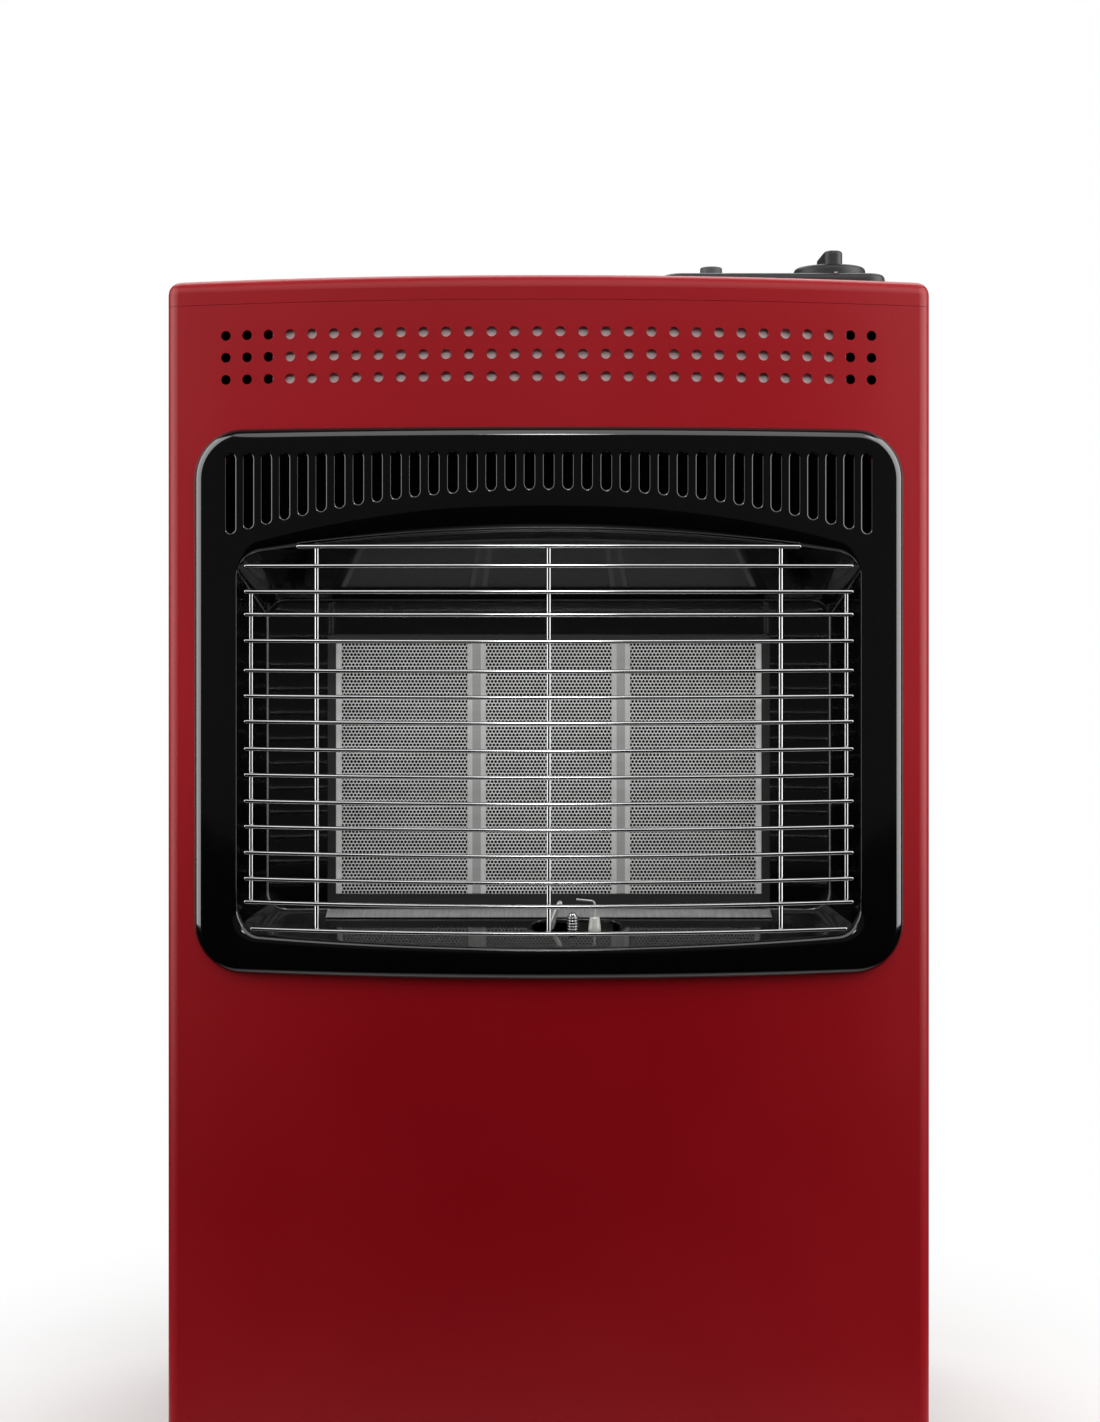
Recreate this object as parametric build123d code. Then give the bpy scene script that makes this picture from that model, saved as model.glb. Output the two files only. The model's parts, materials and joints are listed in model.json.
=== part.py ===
from build123d import *
import math
import os

# Portable gas heater in a steel cabinet with a bowed front. The heater stands on four swivel
# castors, faces -Y, and has its origin on the floor under the middle of its footprint.
# All sizes are in millimetres.

# Cabinet
body_width = 420.0
body_depth = 420.0
front_bow_radius = 756.0
edge_radius = 9.0
sheet = 0.8
seam = 0.2
panel_flange = 12.0
side_flange = 15.0
front_return = 30.0
panel_lift = 6.0
top_height = 14.0
top_edge_radius = 7.0
top_corner_radius = 9.0
vent_to_top = 17.0

# Vent holes of the front panel and the deflector behind them
vent_columns = 30
vent_rows = 3
vent_pitch = 12.25
vent_row_pitch = 12.0
vent_diameter = 5.4
vent_above_surround = 27.0
deflector_gap = 2.0
deflector_sheet = 0.6
deflector_left = -150.0
deflector_right = 162.0
deflector_margin = 9.0

# Ceramic plaques and their frame
burner_bottom_z = 371.0
plaque_count = 3
plaque_width = 78.2
plaque_height = 143.6
plaque_thickness = 13.0
plaque_gap = 2.0
frame_border = 4.5
frame_overlap = 1.0
frame_sheet = 0.8
frame_proud = 3.0
frame_flange = 10.0
divider_width = 4.6
gasket_wall = 0.9

# Burner surround
surround_margin = 16.0
surround_proud = 6.0
surround_sheet = 0.8
surround_corner = 27.0
rim_radius = 5.0
recess_depth = 52.0
recess_floor_gap = 3.0
recess_top_gap = 19.0
recess_floor_drop = 12.5
recess_ceiling_rise = 42.0
recess_side_flare = 20.2
mouth_margin = 17.3
mouth_corner = 11.0
recess_corner = 8.0
mouth_to_rim_bottom = 17.5
window_gap = 0.5
panel_window_side = 17.0
panel_window_edge = 6.5
panel_window_corner = 20.0
stud_radius = 2.0
stud_inset = 10.0
stud_from_corner = 45.0
stud_length = 9.0
stud_hole_radius = 2.5

# Slots of the surround
slot_count = 35
slot_pitch = 10.14
slot_width = 5.0
slot_length = 19.3
slot_above_mouth = 18.1
slot_arc_radius = 649.0
slot_to_rim = 14.0

# Wire guard
guard_wire = 2.3
guard_setback = 1.0
guard_weld = 0.3
guard_end_gap = 4.6
guard_above_mouth = 7.5
guard_below_mouth = 12.8
guard_short_wire_inset = 37.5
guard_low_wire_inset = 1.5
guard_outer_upright = 3.6
guard_inner_upright = 40.0
guard_hook = 7.0
guard_hook_clearance = 0.9
guard_gaps = [14.5, 12.6, 14.1, 14.1, 13.8, 14.2, 14.1, 14.8, 13.8, 13.9, 16.0, 14.3, 12.3, 13.9, 10.5]
guard_low_hook = 1
guard_high_hook = 13

# Burner box, mixing tubes and injectors
box_depth = 34.0
box_sheet = 0.8
ledge_sheet = 1.0
ledge_width = 5.0
tube_radius = 9.0
tube_wall = 0.8
tube_length = 100.0
tube_in_box = 4.0
bell_radius = 13.0
bell_length = 15.0
slip_fit = 0.1
injector_gap = 7.0
injector_height = 28.0
injector_hex = 12.0
injector_tip_radius = 3.0
rail_sheet = 1.5
rail_length = 210.0
rail_leg = 24.0
gas_pipe_radius = 3.0
gas_pipe_bore = 2.0
gas_pipe_bend = 9.5
gas_pipe_step = 12.0
pipe_pitch = 9.0

# Pilot group
pilot_x = 13.1
pilot_radius = 3.45
pilot_height = 25.0
pilot_rib = 0.5
pilot_rib_pitch = 2.2
insulator_x = 25.1
insulator_radius = 3.5
insulator_tip_radius = 2.75
insulator_height = 27.0
electrode_radius = 0.6
electrode_rise = 8.3
electrode_reach = 10.0
probe_x = 1.0
probe_lean = 6.8
probe_rise = 17.0
probe_radius = 1.4
probe_below = 9.0
pilot_cutout_length = 48.8
pilot_cutout_width = 20.0
pilot_cutout_x = 15.0
pilot_setback = 30.0
bracket_sheet = 1.2
bracket_drop = 20.0
pilot_pipe_radius = 2.0
pilot_pipe_bend = 12.0

# Heat shield
shield_gap = 8.0
shield_flange = 12.0
shield_slot_width = 68.0
shield_slot_height = 70.0
shield_slot_to_valve = 40.0
shield_clear_top = 12.0

# Controls on the top panel
valve_to_side = 44.0
valve_setback = 122.0
valve_width = 44.0
valve_depth = 36.0
valve_height = 32.0
valve_below_top = 24.0
neck_radius = 8.0
neck_nut_across = 22.0
neck_nut_height = 3.0
spindle_radius = 4.0
spindle_flat = 1.2
running_fit = 0.08
bezel_width = 130.0
bezel_depth = 56.0
bezel_height = 14.0
bezel_corner = 12.0
bezel_wall = 2.2
bezel_to_side = 14.0
well_radius = 25.0
well_depth = 6.0
knob_radius = 21.0
knob_height = 16.0
knob_push = 4.0
knob_roof = 3.4
moving_gap = 0.4
piezo_to_valve = 70.0
piezo_radius = 9.0
piezo_flange_radius = 11.0
piezo_length = 46.0
button_radius = 6.5
button_push = 6.0
button_proud = 7.0
nozzle_hex = 14.0
nozzle_hex_length = 8.0
nozzle_radius = 4.0
nozzle_length = 26.0
nozzle_plain = 12.0
nozzle_root = 3.4
nozzle_barb = 4.5
nozzle_thread = 4.6
nozzle_bore = 2.2
lead_radius = 1.5
lead_to_valve = 33.0
capillary_radius = 1.0
capillary_to_valve = 24.0
capillary_entry = 19.0

# Hand grips in the side panels
grip_length = 110.0
grip_height = 34.0
grip_depth = 20.0
grip_wall = 1.8
grip_lip = 5.0
grip_lip_thickness = 2.0
grip_y = 20.0
grip_below_top = 52.0

# Base, rear cover and upper back panel
base_sheet = 1.2
base_flange = 24.0
base_rear_lip = 8.0
bottle_seat_half = 130.0
bottle_seat_front = 29.0
bottle_seat_rear = 20.0
bottle_seat_rise = 2.0
bottle_seat_corner = 25.0
base_slot_length = 60.0
base_slot_width = 12.0
cover_depth = 40.0
cover_bow = 18.0
cover_edge_radius = 6.0
cover_gap = 1.0
cover_height = 566.0
cover_lug_radius = 8.0
cover_flange = 13.0
cover_slot_length = 60.0
cover_slot_width = 5.0
cover_slot_pitch = 14.0
cover_slot_rows = 5
cover_pull_length = 90.0
cover_pull_height = 18.0
hinge_pin_radius = 3.0
hinge_pin_rise = 14.0
hinge_pin_setback = 11.0
hinge_ear_radius = 7.0
hinge_ear_sheet = 2.0
hinge_ear_inset = 12.0
clip_width = 20.0
clip_sheet = 0.6
clip_reach = 15.0
clip_x = 120.0

# Castors
castor_height = 62.0
castor_x = 165.0
castor_y = 130.0
castor_trail = 22.0
wheel_radius = 25.0
wheel_width = 20.0
axle_radius = 3.0
plate_size = 56.0
plate_sheet = 2.0
race_radius = 18.0
king_pin_radius = 4.0
fork_crown_radius = 20.0
fork_crown_sheet = 2.6
fork_cheek_sheet = 1.8
fork_side_gap = 1.2

# Small fasteners
screw_radius = 2.0
screw_head_radius = 4.0
screw_head_height = 2.2
screw_stem = 5.0
rivet_radius = 2.4

# Levels worked out from the sizes above
body_half = body_width / 2
front_y = -body_depth / 2
back_y = body_depth / 2
panel_nose_y = front_y + surround_proud
bow_axis_y = panel_nose_y + front_bow_radius
side_back_y = back_y - cover_depth
corner_y = bow_axis_y - math.sqrt(front_bow_radius**2 - body_half**2)
return_y = corner_y + front_return

frame_margin = frame_border - frame_overlap
plaque_pitch = plaque_width + plaque_gap
plaques_width = plaque_count * plaque_width + (plaque_count - 1) * plaque_gap
frame_half = plaques_width / 2 + frame_margin
frame_height = plaque_height + 2 * frame_margin
burner_top_z = burner_bottom_z + frame_height
burner_mid_z = (burner_bottom_z + burner_top_z) / 2
recess_y = front_y + recess_depth
recess_bottom_z = burner_bottom_z - recess_floor_gap
recess_top_z = burner_top_z + recess_top_gap
mouth_bottom_z = recess_bottom_z - recess_floor_drop
mouth_top_z = recess_top_z + recess_ceiling_rise
surround_half = body_half - surround_margin
mouth_half = surround_half - mouth_margin
recess_half = mouth_half - recess_side_flare
slot_bottom_z = mouth_top_z + slot_above_mouth
slot_top_z = slot_bottom_z + slot_length
surround_top_z = slot_top_z + slot_to_rim
surround_bottom_z = mouth_bottom_z - mouth_to_rim_bottom
surround_mid_z = (surround_top_z + surround_bottom_z) / 2
surround_height = surround_top_z - surround_bottom_z
vent_low_z = surround_top_z + vent_above_surround
vent_high_z = vent_low_z + (vent_rows - 1) * vent_row_pitch
panel_bottom_z = castor_height + panel_lift
panel_top_z = vent_high_z + vent_to_top
cabinet_top_z = panel_top_z + top_height
frame_flange_y = recess_y + surround_sheet + seam
box_front_y = frame_flange_y + frame_sheet + seam
box_back_y = box_front_y + box_depth
plaque_front_y = recess_y - frame_proud + frame_sheet + seam
plaque_back_y = plaque_front_y + plaque_thickness
ledge_y = plaque_back_y + seam
tube_y = (ledge_y + ledge_sheet + box_back_y - box_sheet) / 2
shield_y = box_back_y + shield_gap
shield_back_y = shield_y + sheet
tube_bottom_z = burner_bottom_z + tube_in_box - tube_length
injector_top_z = tube_bottom_z - injector_gap
injector_bottom_z = injector_top_z - injector_height
rail_z = injector_bottom_z + 10.0
pilot_y = front_y + pilot_setback
bracket_z = burner_bottom_z - bracket_drop
valve_x = body_half - valve_to_side
valve_y = front_y + valve_setback
piezo_x = valve_x - piezo_to_valve
bezel_right = body_half - bezel_to_side
capillary_x = valve_x - capillary_to_valve
lead_x = valve_x - lead_to_valve
shield_slot_left = valve_x - shield_slot_to_valve
valve_top_z = cabinet_top_z - valve_below_top
valve_bottom_z = valve_top_z - valve_height
base_top_z = castor_height + base_sheet
cover_bottom_z = panel_bottom_z + 2.0
cover_top_z = cover_bottom_z + cover_height
cover_front_y = side_back_y + cover_gap
cover_half = body_half - cover_gap
hinge_z = castor_height + hinge_pin_rise
hinge_y = side_back_y + hinge_pin_setback
upper_back_z = cover_top_z + 4.0


# General shapes

def block(x0, x1, y0, y1, z0, z1):
    """A box between two corners."""
    box = Box(x1 - x0, y1 - y0, z1 - z0)
    return Pos((x0 + x1) / 2, (y0 + y1) / 2, (z0 + z1) / 2) * box


def upright(x, y, z0, z1, radius):
    """A vertical cylinder from z0 to z1."""
    return Pos(x, y, (z0 + z1) / 2) * Cylinder(radius, z1 - z0)


def lying_x(x0, x1, y, z, radius):
    """A cylinder along X."""
    return Pos((x0 + x1) / 2, y, z) * Rot(0, 90, 0) * Cylinder(radius, x1 - x0)


def lying_y(x, y0, y1, z, radius):
    """A cylinder along Y."""
    return Pos(x, (y0 + y1) / 2, z) * Rot(90, 0, 0) * Cylinder(radius, y1 - y0)


def hexagon(x, y, z0, z1, across):
    """A vertical hexagonal prism with the given width across its flats."""
    shape = RegularPolygon(across / 2, 6, major_radius=False)
    return Pos(x, y, z0) * extrude(shape, amount=z1 - z0)


def front_prism(sketch):
    """A sketch drawn on the XZ plane, carried through the whole front half."""
    return extrude(Plane.XZ * sketch, amount=body_depth)


def bow_y(proud, x):
    """Y of a surface that stands proud of the front panel's face, at x."""
    radius = front_bow_radius + proud
    return bow_axis_y - math.sqrt(radius**2 - x**2)


def bowed_slab(proud_front, proud_back, half, z0, z1):
    """The space between two upright cylinders about the bow's axis."""
    front = [(-half, bow_y(proud_front, half)), (0, bow_y(proud_front, 0)), (half, bow_y(proud_front, half))]
    back = [(half, bow_y(proud_back, half)), (0, bow_y(proud_back, 0)), (-half, bow_y(proud_back, half))]
    edges = [ThreePointArc(*front), Line(front[2], back[0])]
    edges += [ThreePointArc(*back), Line(back[2], front[0])]
    return Pos(0, 0, z0) * extrude(make_face(Curve() + edges), amount=z1 - z0)


def cabinet_outline(inset, back, corners=2):
    """The cabinet's plan outline with its bowed front, drawn in by inset."""
    half = body_half - inset
    radius = front_bow_radius - inset
    side_y = bow_axis_y - math.sqrt(radius**2 - half**2)
    arc = ThreePointArc((-half, side_y), (0, bow_axis_y - radius), (half, side_y))
    sides = Polyline((half, side_y), (half, back), (-half, back), (-half, side_y))
    outline = make_face(Curve() + [arc, sides])
    front_corners = outline.vertices().sort_by(Axis.Y)[:2]
    outline = fillet(front_corners, max(edge_radius - inset, seam))
    if corners == 4:
        back_corners = outline.vertices().sort_by(Axis.Y)[-2:]
        outline = fillet(back_corners, max(top_corner_radius - inset, seam))
    return outline


def swept_rod(points, radius, bend):
    """A round rod along straight runs joined by arcs."""
    path = FilletPolyline(*points, radius=bend) if len(points) > 2 else Line(*points)
    return sweep(Plane(origin=path @ 0, z_dir=path % 0) * Circle(radius), path=path)


def swept_pipe(points, radius, bore, bend):
    """A round pipe along straight runs joined by arcs."""
    path = FilletPolyline(*points, radius=bend)
    section = Plane(origin=path @ 0, z_dir=path % 0) * (Circle(radius) - Circle(bore))
    return sweep(section, path=path)


def cord_radii(points):
    """The largest arcs that the runs of a lead allow, one for each inner point."""
    radii = []
    for before, here, after in zip(points, points[1:], points[2:]):
        first = Vector(*here) - Vector(*before)
        second = Vector(*after) - Vector(*here)
        turn = math.radians(first.get_angle(second))
        radii.append(0.45 * min(first.length, second.length) / math.tan(turn / 2))
    return radii


def screw_y(x, y, z, facing):
    """A pan head screw along Y with its head on the side that facing gives."""
    head_low, head_high = sorted((y, y + facing * screw_head_height))
    stem_low, stem_high = sorted((y, y - facing * screw_stem))
    head = lying_y(x, head_low, head_high, z, screw_head_radius)
    return head + lying_y(x, stem_low, stem_high, z, screw_radius)


def write(name, *solids):
    """One STEP file for each named piece."""
    shape = solids[0] if len(solids) == 1 else Compound(children=list(solids))
    export_step(shape, f"parts/{name}.step")


# Cabinet panels

def front_panel():
    """Bowed front sheet with rolled edges, vent holes and the burner window."""
    height = panel_top_z - panel_bottom_z
    solid = extrude(cabinet_outline(0, return_y), amount=height)
    hollow = extrude(cabinet_outline(sheet, return_y - sheet), amount=height - 2 * sheet)
    inner = cabinet_outline(panel_flange, return_y + panel_flange)
    shell = solid - Pos(0, 0, sheet) * hollow - Pos(0, 0, -sheet) * extrude(inner, amount=height + 2 * sheet)
    shell -= extrude(cabinet_outline(sheet, return_y + 1), amount=tray_room())
    shell = Pos(0, 0, panel_bottom_z) * shell
    window = Pos(0, (panel_window_top() + panel_window_bottom()) / 2) * RectangleRounded(
        2 * (surround_half - panel_window_side),
        panel_window_top() - panel_window_bottom(),
        panel_window_corner,
    )
    cuts = [front_prism(window)]
    cuts.append(front_prism(Sketch() + [Pos(x, z) * Circle(vent_diameter / 2) for x, z in vent_places()]))
    for x, z in stud_places():
        cuts.append(lying_y(x, front_y, return_y - 2 * sheet, z, stud_hole_radius))
    return shell - cuts


def tray_room():
    """Height above a panel's lower edge that the base's raised edge needs inside it."""
    return base_flange - panel_lift + 1.0


def panel_window_top():
    return surround_top_z - panel_window_edge


def panel_window_bottom():
    return surround_bottom_z + panel_window_edge


def vent_places():
    """Centres of the vent holes, evenly spaced along the curved sheet."""
    places = []
    for row in range(vent_rows):
        for column in range(vent_columns):
            along = (column - (vent_columns - 1) / 2) * vent_pitch
            x = front_bow_radius * math.sin(along / front_bow_radius)
            places.append((x, vent_low_z + row * vent_row_pitch))
    return places


def stud_places():
    """Centres of the surround's fixing studs."""
    x = surround_half - stud_inset
    low = surround_bottom_z + stud_from_corner
    high = surround_top_z - stud_from_corner
    return [(side * x, z) for side in (-1, 1) for z in (low, high)]


def grip_z():
    return panel_top_z - grip_below_top


def side_panel(side):
    """Flat side sheet with a flange at the front and one at the rear."""
    y0 = return_y + seam
    web = block(body_half - sheet, body_half, y0, side_back_y, panel_bottom_z, panel_top_z)
    inner_x = body_half - side_flange
    flange_z = panel_bottom_z + tray_room()
    front = block(inner_x, body_half, y0, y0 + sheet, flange_z, panel_top_z)
    rear = block(inner_x, body_half, side_back_y - sheet, side_back_y, flange_z, panel_top_z)
    top = block(inner_x, body_half, y0, side_back_y, panel_top_z - sheet, panel_top_z)
    hole = block(inner_x, body_half + 1, grip_y - grip_length / 2, grip_y + grip_length / 2,
                 grip_z() - grip_height / 2, grip_z() + grip_height / 2)
    panel = web + front + rear + top - hole
    for z in back_screw_levels():
        panel -= lying_y(back_screw_x(), side_back_y - 3, side_back_y + 1, z, screw_radius + slip_fit)
    return panel if side > 0 else mirror(panel, about=Plane.YZ)


def side_grip(side):
    """Moulded cup that a hand fits into, with a lip outside the sheet."""
    half_y = grip_length / 2 - slip_fit
    half_z = grip_height / 2 - slip_fit
    outside = body_half + grip_lip_thickness
    inside = body_half - grip_depth
    cup = block(inside, body_half, grip_y - half_y, grip_y + half_y, grip_z() - half_z, grip_z() + half_z)
    lip = block(body_half, outside, grip_y - half_y - grip_lip, grip_y + half_y + grip_lip,
                grip_z() - half_z - grip_lip, grip_z() + half_z + grip_lip)
    lip = fillet(lip.edges().filter_by(Axis.X), grip_lip)
    lip = fillet(lip.faces().sort_by(Axis.X)[-1].edges(), grip_lip_thickness * 0.6)
    hollow = block(inside + grip_wall, outside + 1, grip_y - half_y + grip_wall, grip_y + half_y - grip_wall,
                   grip_z() - half_z + grip_wall, grip_z() + half_z - grip_wall)
    hollow = fillet(hollow.edges().filter_by(Axis.X), grip_lip)
    grip = cup + lip - hollow
    return grip if side > 0 else mirror(grip, about=Plane.YZ)


def top_panel():
    """Shallow cap over the cabinet, with holes for the valve neck and the igniter."""
    low = panel_top_z + seam
    cap = extrude(cabinet_outline(0, side_back_y, corners=4), amount=cabinet_top_z - low)
    cap = fillet(cap.faces().sort_by(Axis.Z)[-1].edges(), top_edge_radius)
    hollow = extrude(cabinet_outline(sheet, side_back_y - sheet, corners=4), amount=cabinet_top_z - low - sheet)
    hollow = fillet(hollow.faces().sort_by(Axis.Z)[-1].edges(), top_edge_radius - sheet)
    panel = Pos(0, 0, low) * (cap - hollow)
    panel -= upright(valve_x, valve_y, low, cabinet_top_z + 1, neck_radius + slip_fit)
    panel -= upright(piezo_x, valve_y, low, cabinet_top_z + 1, piezo_radius + slip_fit)
    return panel


def vent_deflector():
    """Galvanised sheet that hangs behind the vent holes from the panel's top flange."""
    setback = sheet + deflector_gap
    z0 = vent_low_z - deflector_margin
    z1 = panel_top_z - sheet - seam
    slab = bowed_slab(-setback, -setback - deflector_sheet, body_half - edge_radius, z0, z1)
    keep = block(deflector_left, deflector_right, front_y, return_y, z0, z1)
    return slab & keep


# Burner surround and guard

def surround_pad(inset, proud_front, proud_back, radius):
    """The surround's outline between two bowed faces, with a rounded front rim."""
    outline = Pos(0, surround_mid_z) * RectangleRounded(
        2 * (surround_half - inset),
        surround_height - 2 * inset,
        surround_corner - inset,
    )
    slab = bowed_slab(proud_front, proud_back, body_half, surround_bottom_z - 10, surround_top_z + 10)
    pad = (slab & front_prism(outline)).solids()[0]
    face = pad.faces().filter_by(GeomType.CYLINDER).sort_by(Axis.Y)[0]
    return fillet(face.edges(), radius)


def recess_size(y):
    """Half width, low z, high z and corner radius of the recess at depth y."""
    share = (y - front_y) / recess_depth
    half = mouth_half + share * (recess_half - mouth_half)
    low = mouth_bottom_z + share * (recess_bottom_z - mouth_bottom_z)
    high = mouth_top_z + share * (recess_top_z - mouth_top_z)
    corner = mouth_corner + share * (recess_corner - mouth_corner)
    return half, low, high, corner


def recess_solid(grow, y_front, y_back):
    """The recess as a solid whose section shrinks evenly towards the burner."""
    sections = []
    for y in (y_back, y_front):
        half, low, high, corner = recess_size(y)
        plane = Plane(origin=(0, y, 0), x_dir=(1, 0, 0), z_dir=(0, -1, 0))
        shape = RectangleRounded(2 * (half + grow), high - low + 2 * grow, corner + grow)
        sections.append(plane * Pos(0, (low + high) / 2) * shape)
    return loft(sections)


def slot_prism():
    """All slots as one solid, tops in line and bottoms on an arc."""
    slots = []
    for number in range(slot_count):
        along = (number - (slot_count - 1) / 2) * slot_pitch
        x = (front_bow_radius + surround_proud) * math.sin(along / (front_bow_radius + surround_proud))
        low = slot_bottom_z - (slot_arc_radius - math.sqrt(slot_arc_radius**2 - x**2))
        length = slot_top_z - low
        slots.append(Pos(x, low + length / 2) * SlotOverall(length, slot_width, rotation=90))
    return front_prism(Sketch() + slots)


def burner_surround():
    """Enamelled pressing: rim, slotted face, recess and the burner window."""
    shell = surround_pad(0, surround_proud, seam, rim_radius)
    inner = surround_pad(surround_sheet, surround_proud - surround_sheet, -8.0, rim_radius - surround_sheet)
    face = shell - inner
    y_beyond = front_y - 8.0
    recess_inner = recess_solid(0, y_beyond, recess_y)
    recess_outer = recess_solid(surround_sheet, y_beyond, recess_y + surround_sheet)
    behind_face = bowed_slab(surround_proud, -recess_depth - 10, body_half, mouth_bottom_z - 30, mouth_top_z + 30)
    funnel = (recess_outer - recess_inner) & behind_face
    solid = (face - recess_inner) + funnel
    solid -= slot_prism()
    window = Pos(0, burner_mid_z) * Rectangle(2 * (frame_half + window_gap), frame_height + 2 * window_gap)
    solid -= Pos(0, recess_y + 5, 0) * extrude(Plane.XZ * window, amount=8)
    cutout = SlotOverall(pilot_cutout_length, pilot_cutout_width)
    solid -= Pos(pilot_cutout_x, pilot_y, bracket_z) * extrude(cutout, amount=recess_bottom_z - bracket_z)
    reach = guard_half() + guard_hook
    for z in (guard_levels()[guard_low_hook], guard_levels()[guard_high_hook]):
        hole = guard_wire / 2 + guard_hook_clearance
        for side in (-1, 1):
            x0, x1 = sorted((side * guard_half(), side * (reach + 2)))
            y = guard_y(reach - guard_hook / 2)
            solid -= lying_x(x0, x1, y, z, hole) + block(x0, x1, y - guard_hook, y, z - hole, z + hole)
    for x, z in stud_places():
        y0 = bow_y(surround_proud - surround_sheet / 2, abs(x))
        solid += lying_y(x, y0, bow_y(0, abs(x)) + stud_length, z, stud_radius)
    return solid


def surround_nuts():
    """Nuts on the surround's studs, behind the front panel."""
    nuts = []
    for x, z in stud_places():
        y0 = bow_y(-sheet, abs(x) + 4.0)
        nut = lying_hex(x, y0, y0 + 3.2, z, 7.0) - lying_y(x, y0 - 1, y0 + 5, z, stud_radius + slip_fit)
        nuts.append(nut)
    return nuts


def lying_hex(x, y0, y1, z, across):
    """A hexagonal prism along Y."""
    shape = Plane(origin=(x, y1, z), x_dir=(1, 0, 0), z_dir=(0, -1, 0)) * RegularPolygon(
        across / 2, 6, major_radius=False)
    return extrude(shape, amount=y1 - y0)


def guard_proud():
    """How far the guard's wire centres stand proud of the front panel's face."""
    return surround_proud - guard_setback - guard_wire / 2


def guard_y(x):
    return bow_y(guard_proud(), x)


def guard_half():
    """Half length of the long wires, short of the recess's side walls."""
    wall = recess_size(guard_y(recess_half))[0]
    return wall - guard_end_gap


def guard_levels():
    """Heights of the level wires, from the lowest to the highest."""
    low = mouth_bottom_z + guard_above_mouth
    high = mouth_top_z - guard_below_mouth
    scale = (high - low) / sum(guard_gaps)
    levels = [low]
    for gap in guard_gaps:
        levels.append(levels[-1] + gap * scale)
    return levels


def level_wire(half, z):
    """One wire bent to the bow of the front."""
    arc = ThreePointArc((-half, guard_y(half), z), (0, guard_y(0), z), (half, guard_y(half), z))
    section = Plane(origin=arc @ 0, z_dir=arc % 0) * Circle(guard_wire / 2)
    return sweep(section, path=arc)


def wire_guard():
    """Level wires welded in front of five uprights, hooked into the recess walls."""
    levels = guard_levels()
    last = len(levels) - 1
    wires = []
    for number, z in enumerate(levels):
        half = guard_half()
        if number == last:
            half -= guard_short_wire_inset
        if number == 0:
            half -= guard_low_wire_inset
        if number in (guard_low_hook, guard_high_hook):
            half += guard_hook
        wires.append(level_wire(half, z))
    behind = guard_wire - guard_weld
    uprights = [(0, 0, last)]
    for side in (-1, 1):
        uprights.append((side * (guard_half() - guard_inner_upright), 0, last))
        uprights.append((side * (guard_half() - guard_outer_upright), guard_low_hook, guard_high_hook))
    for x, first, end in uprights:
        wires.append(upright(x, guard_y(abs(x)) + behind, levels[first], levels[end], guard_wire / 2))
    guard = wires[0]
    return guard.fuse(*wires[1:])


# Burner

def burner_rect(grow, y, depth):
    """A plate of the burner frame's outline, grown by grow, from y to y + depth."""
    return block(-frame_half - grow, frame_half + grow, y, y + depth,
                 burner_bottom_z - grow, burner_top_z + grow)


def plaque_x(number):
    return (number - (plaque_count - 1) / 2) * plaque_pitch


def plaque(number):
    """One ceramic plaque with softened edges."""
    x = plaque_x(number)
    low = burner_bottom_z + frame_margin
    solid = block(x - plaque_width / 2, x + plaque_width / 2, plaque_front_y, plaque_back_y, low, low + plaque_height)
    return chamfer(solid.faces().sort_by(Axis.Y)[0].edges(), 0.5)


def plaque_gaskets():
    """Ceramic fibre strips round the plaques."""
    gaskets = []
    low = burner_bottom_z + frame_margin
    for number in range(plaque_count):
        x = plaque_x(number)
        inner = plaque_width / 2 + seam / 4
        outer = inner + gasket_wall
        y0 = plaque_front_y + 2.0
        y1 = plaque_back_y
        ring = block(x - outer, x + outer, y0, y1, low - seam / 4 - gasket_wall, low + plaque_height + seam / 4 + gasket_wall)
        ring -= block(x - inner, x + inner, y0 - 1, y1 + 1, low - seam / 4, low + plaque_height + seam / 4)
        gaskets.append(ring)
    return gaskets


def burner_frame():
    """Pressed frame that holds the plaques, with two upright dividers."""
    front = recess_y - frame_proud
    depth = frame_flange_y + frame_sheet - front
    frame = burner_rect(0, front, depth)
    frame = fillet(frame.edges().filter_by(Axis.Y), 2.0)
    frame -= burner_rect(-frame_sheet, front + frame_sheet, depth)
    frame += burner_rect(frame_flange, frame_flange_y, frame_sheet) - burner_rect(-frame_sheet, frame_flange_y - 1, 4)
    frame -= burner_rect(-frame_border, front - 1, 4)
    for number in range(plaque_count - 1):
        x = (plaque_x(number) + plaque_x(number + 1)) / 2
        frame += block(x - divider_width / 2, x + divider_width / 2, front, front + frame_sheet,
                       burner_bottom_z + frame_border - 1, burner_top_z - frame_border + 1)
    for x, z in burner_screw_places():
        frame -= lying_y(x, front, box_front_y, z, screw_radius + slip_fit)
    return frame


def burner_screw_places():
    """Screws that clamp the frame and the box to the surround from behind."""
    x = frame_half + frame_flange / 2
    spread = frame_height / 3
    places = []
    for side in (-1, 1):
        places.append((side * x, burner_mid_z - spread))
        places.append((side * x, burner_mid_z + spread))
        places.append((side * plaque_pitch, burner_top_z + frame_flange / 2))
    return places


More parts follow.
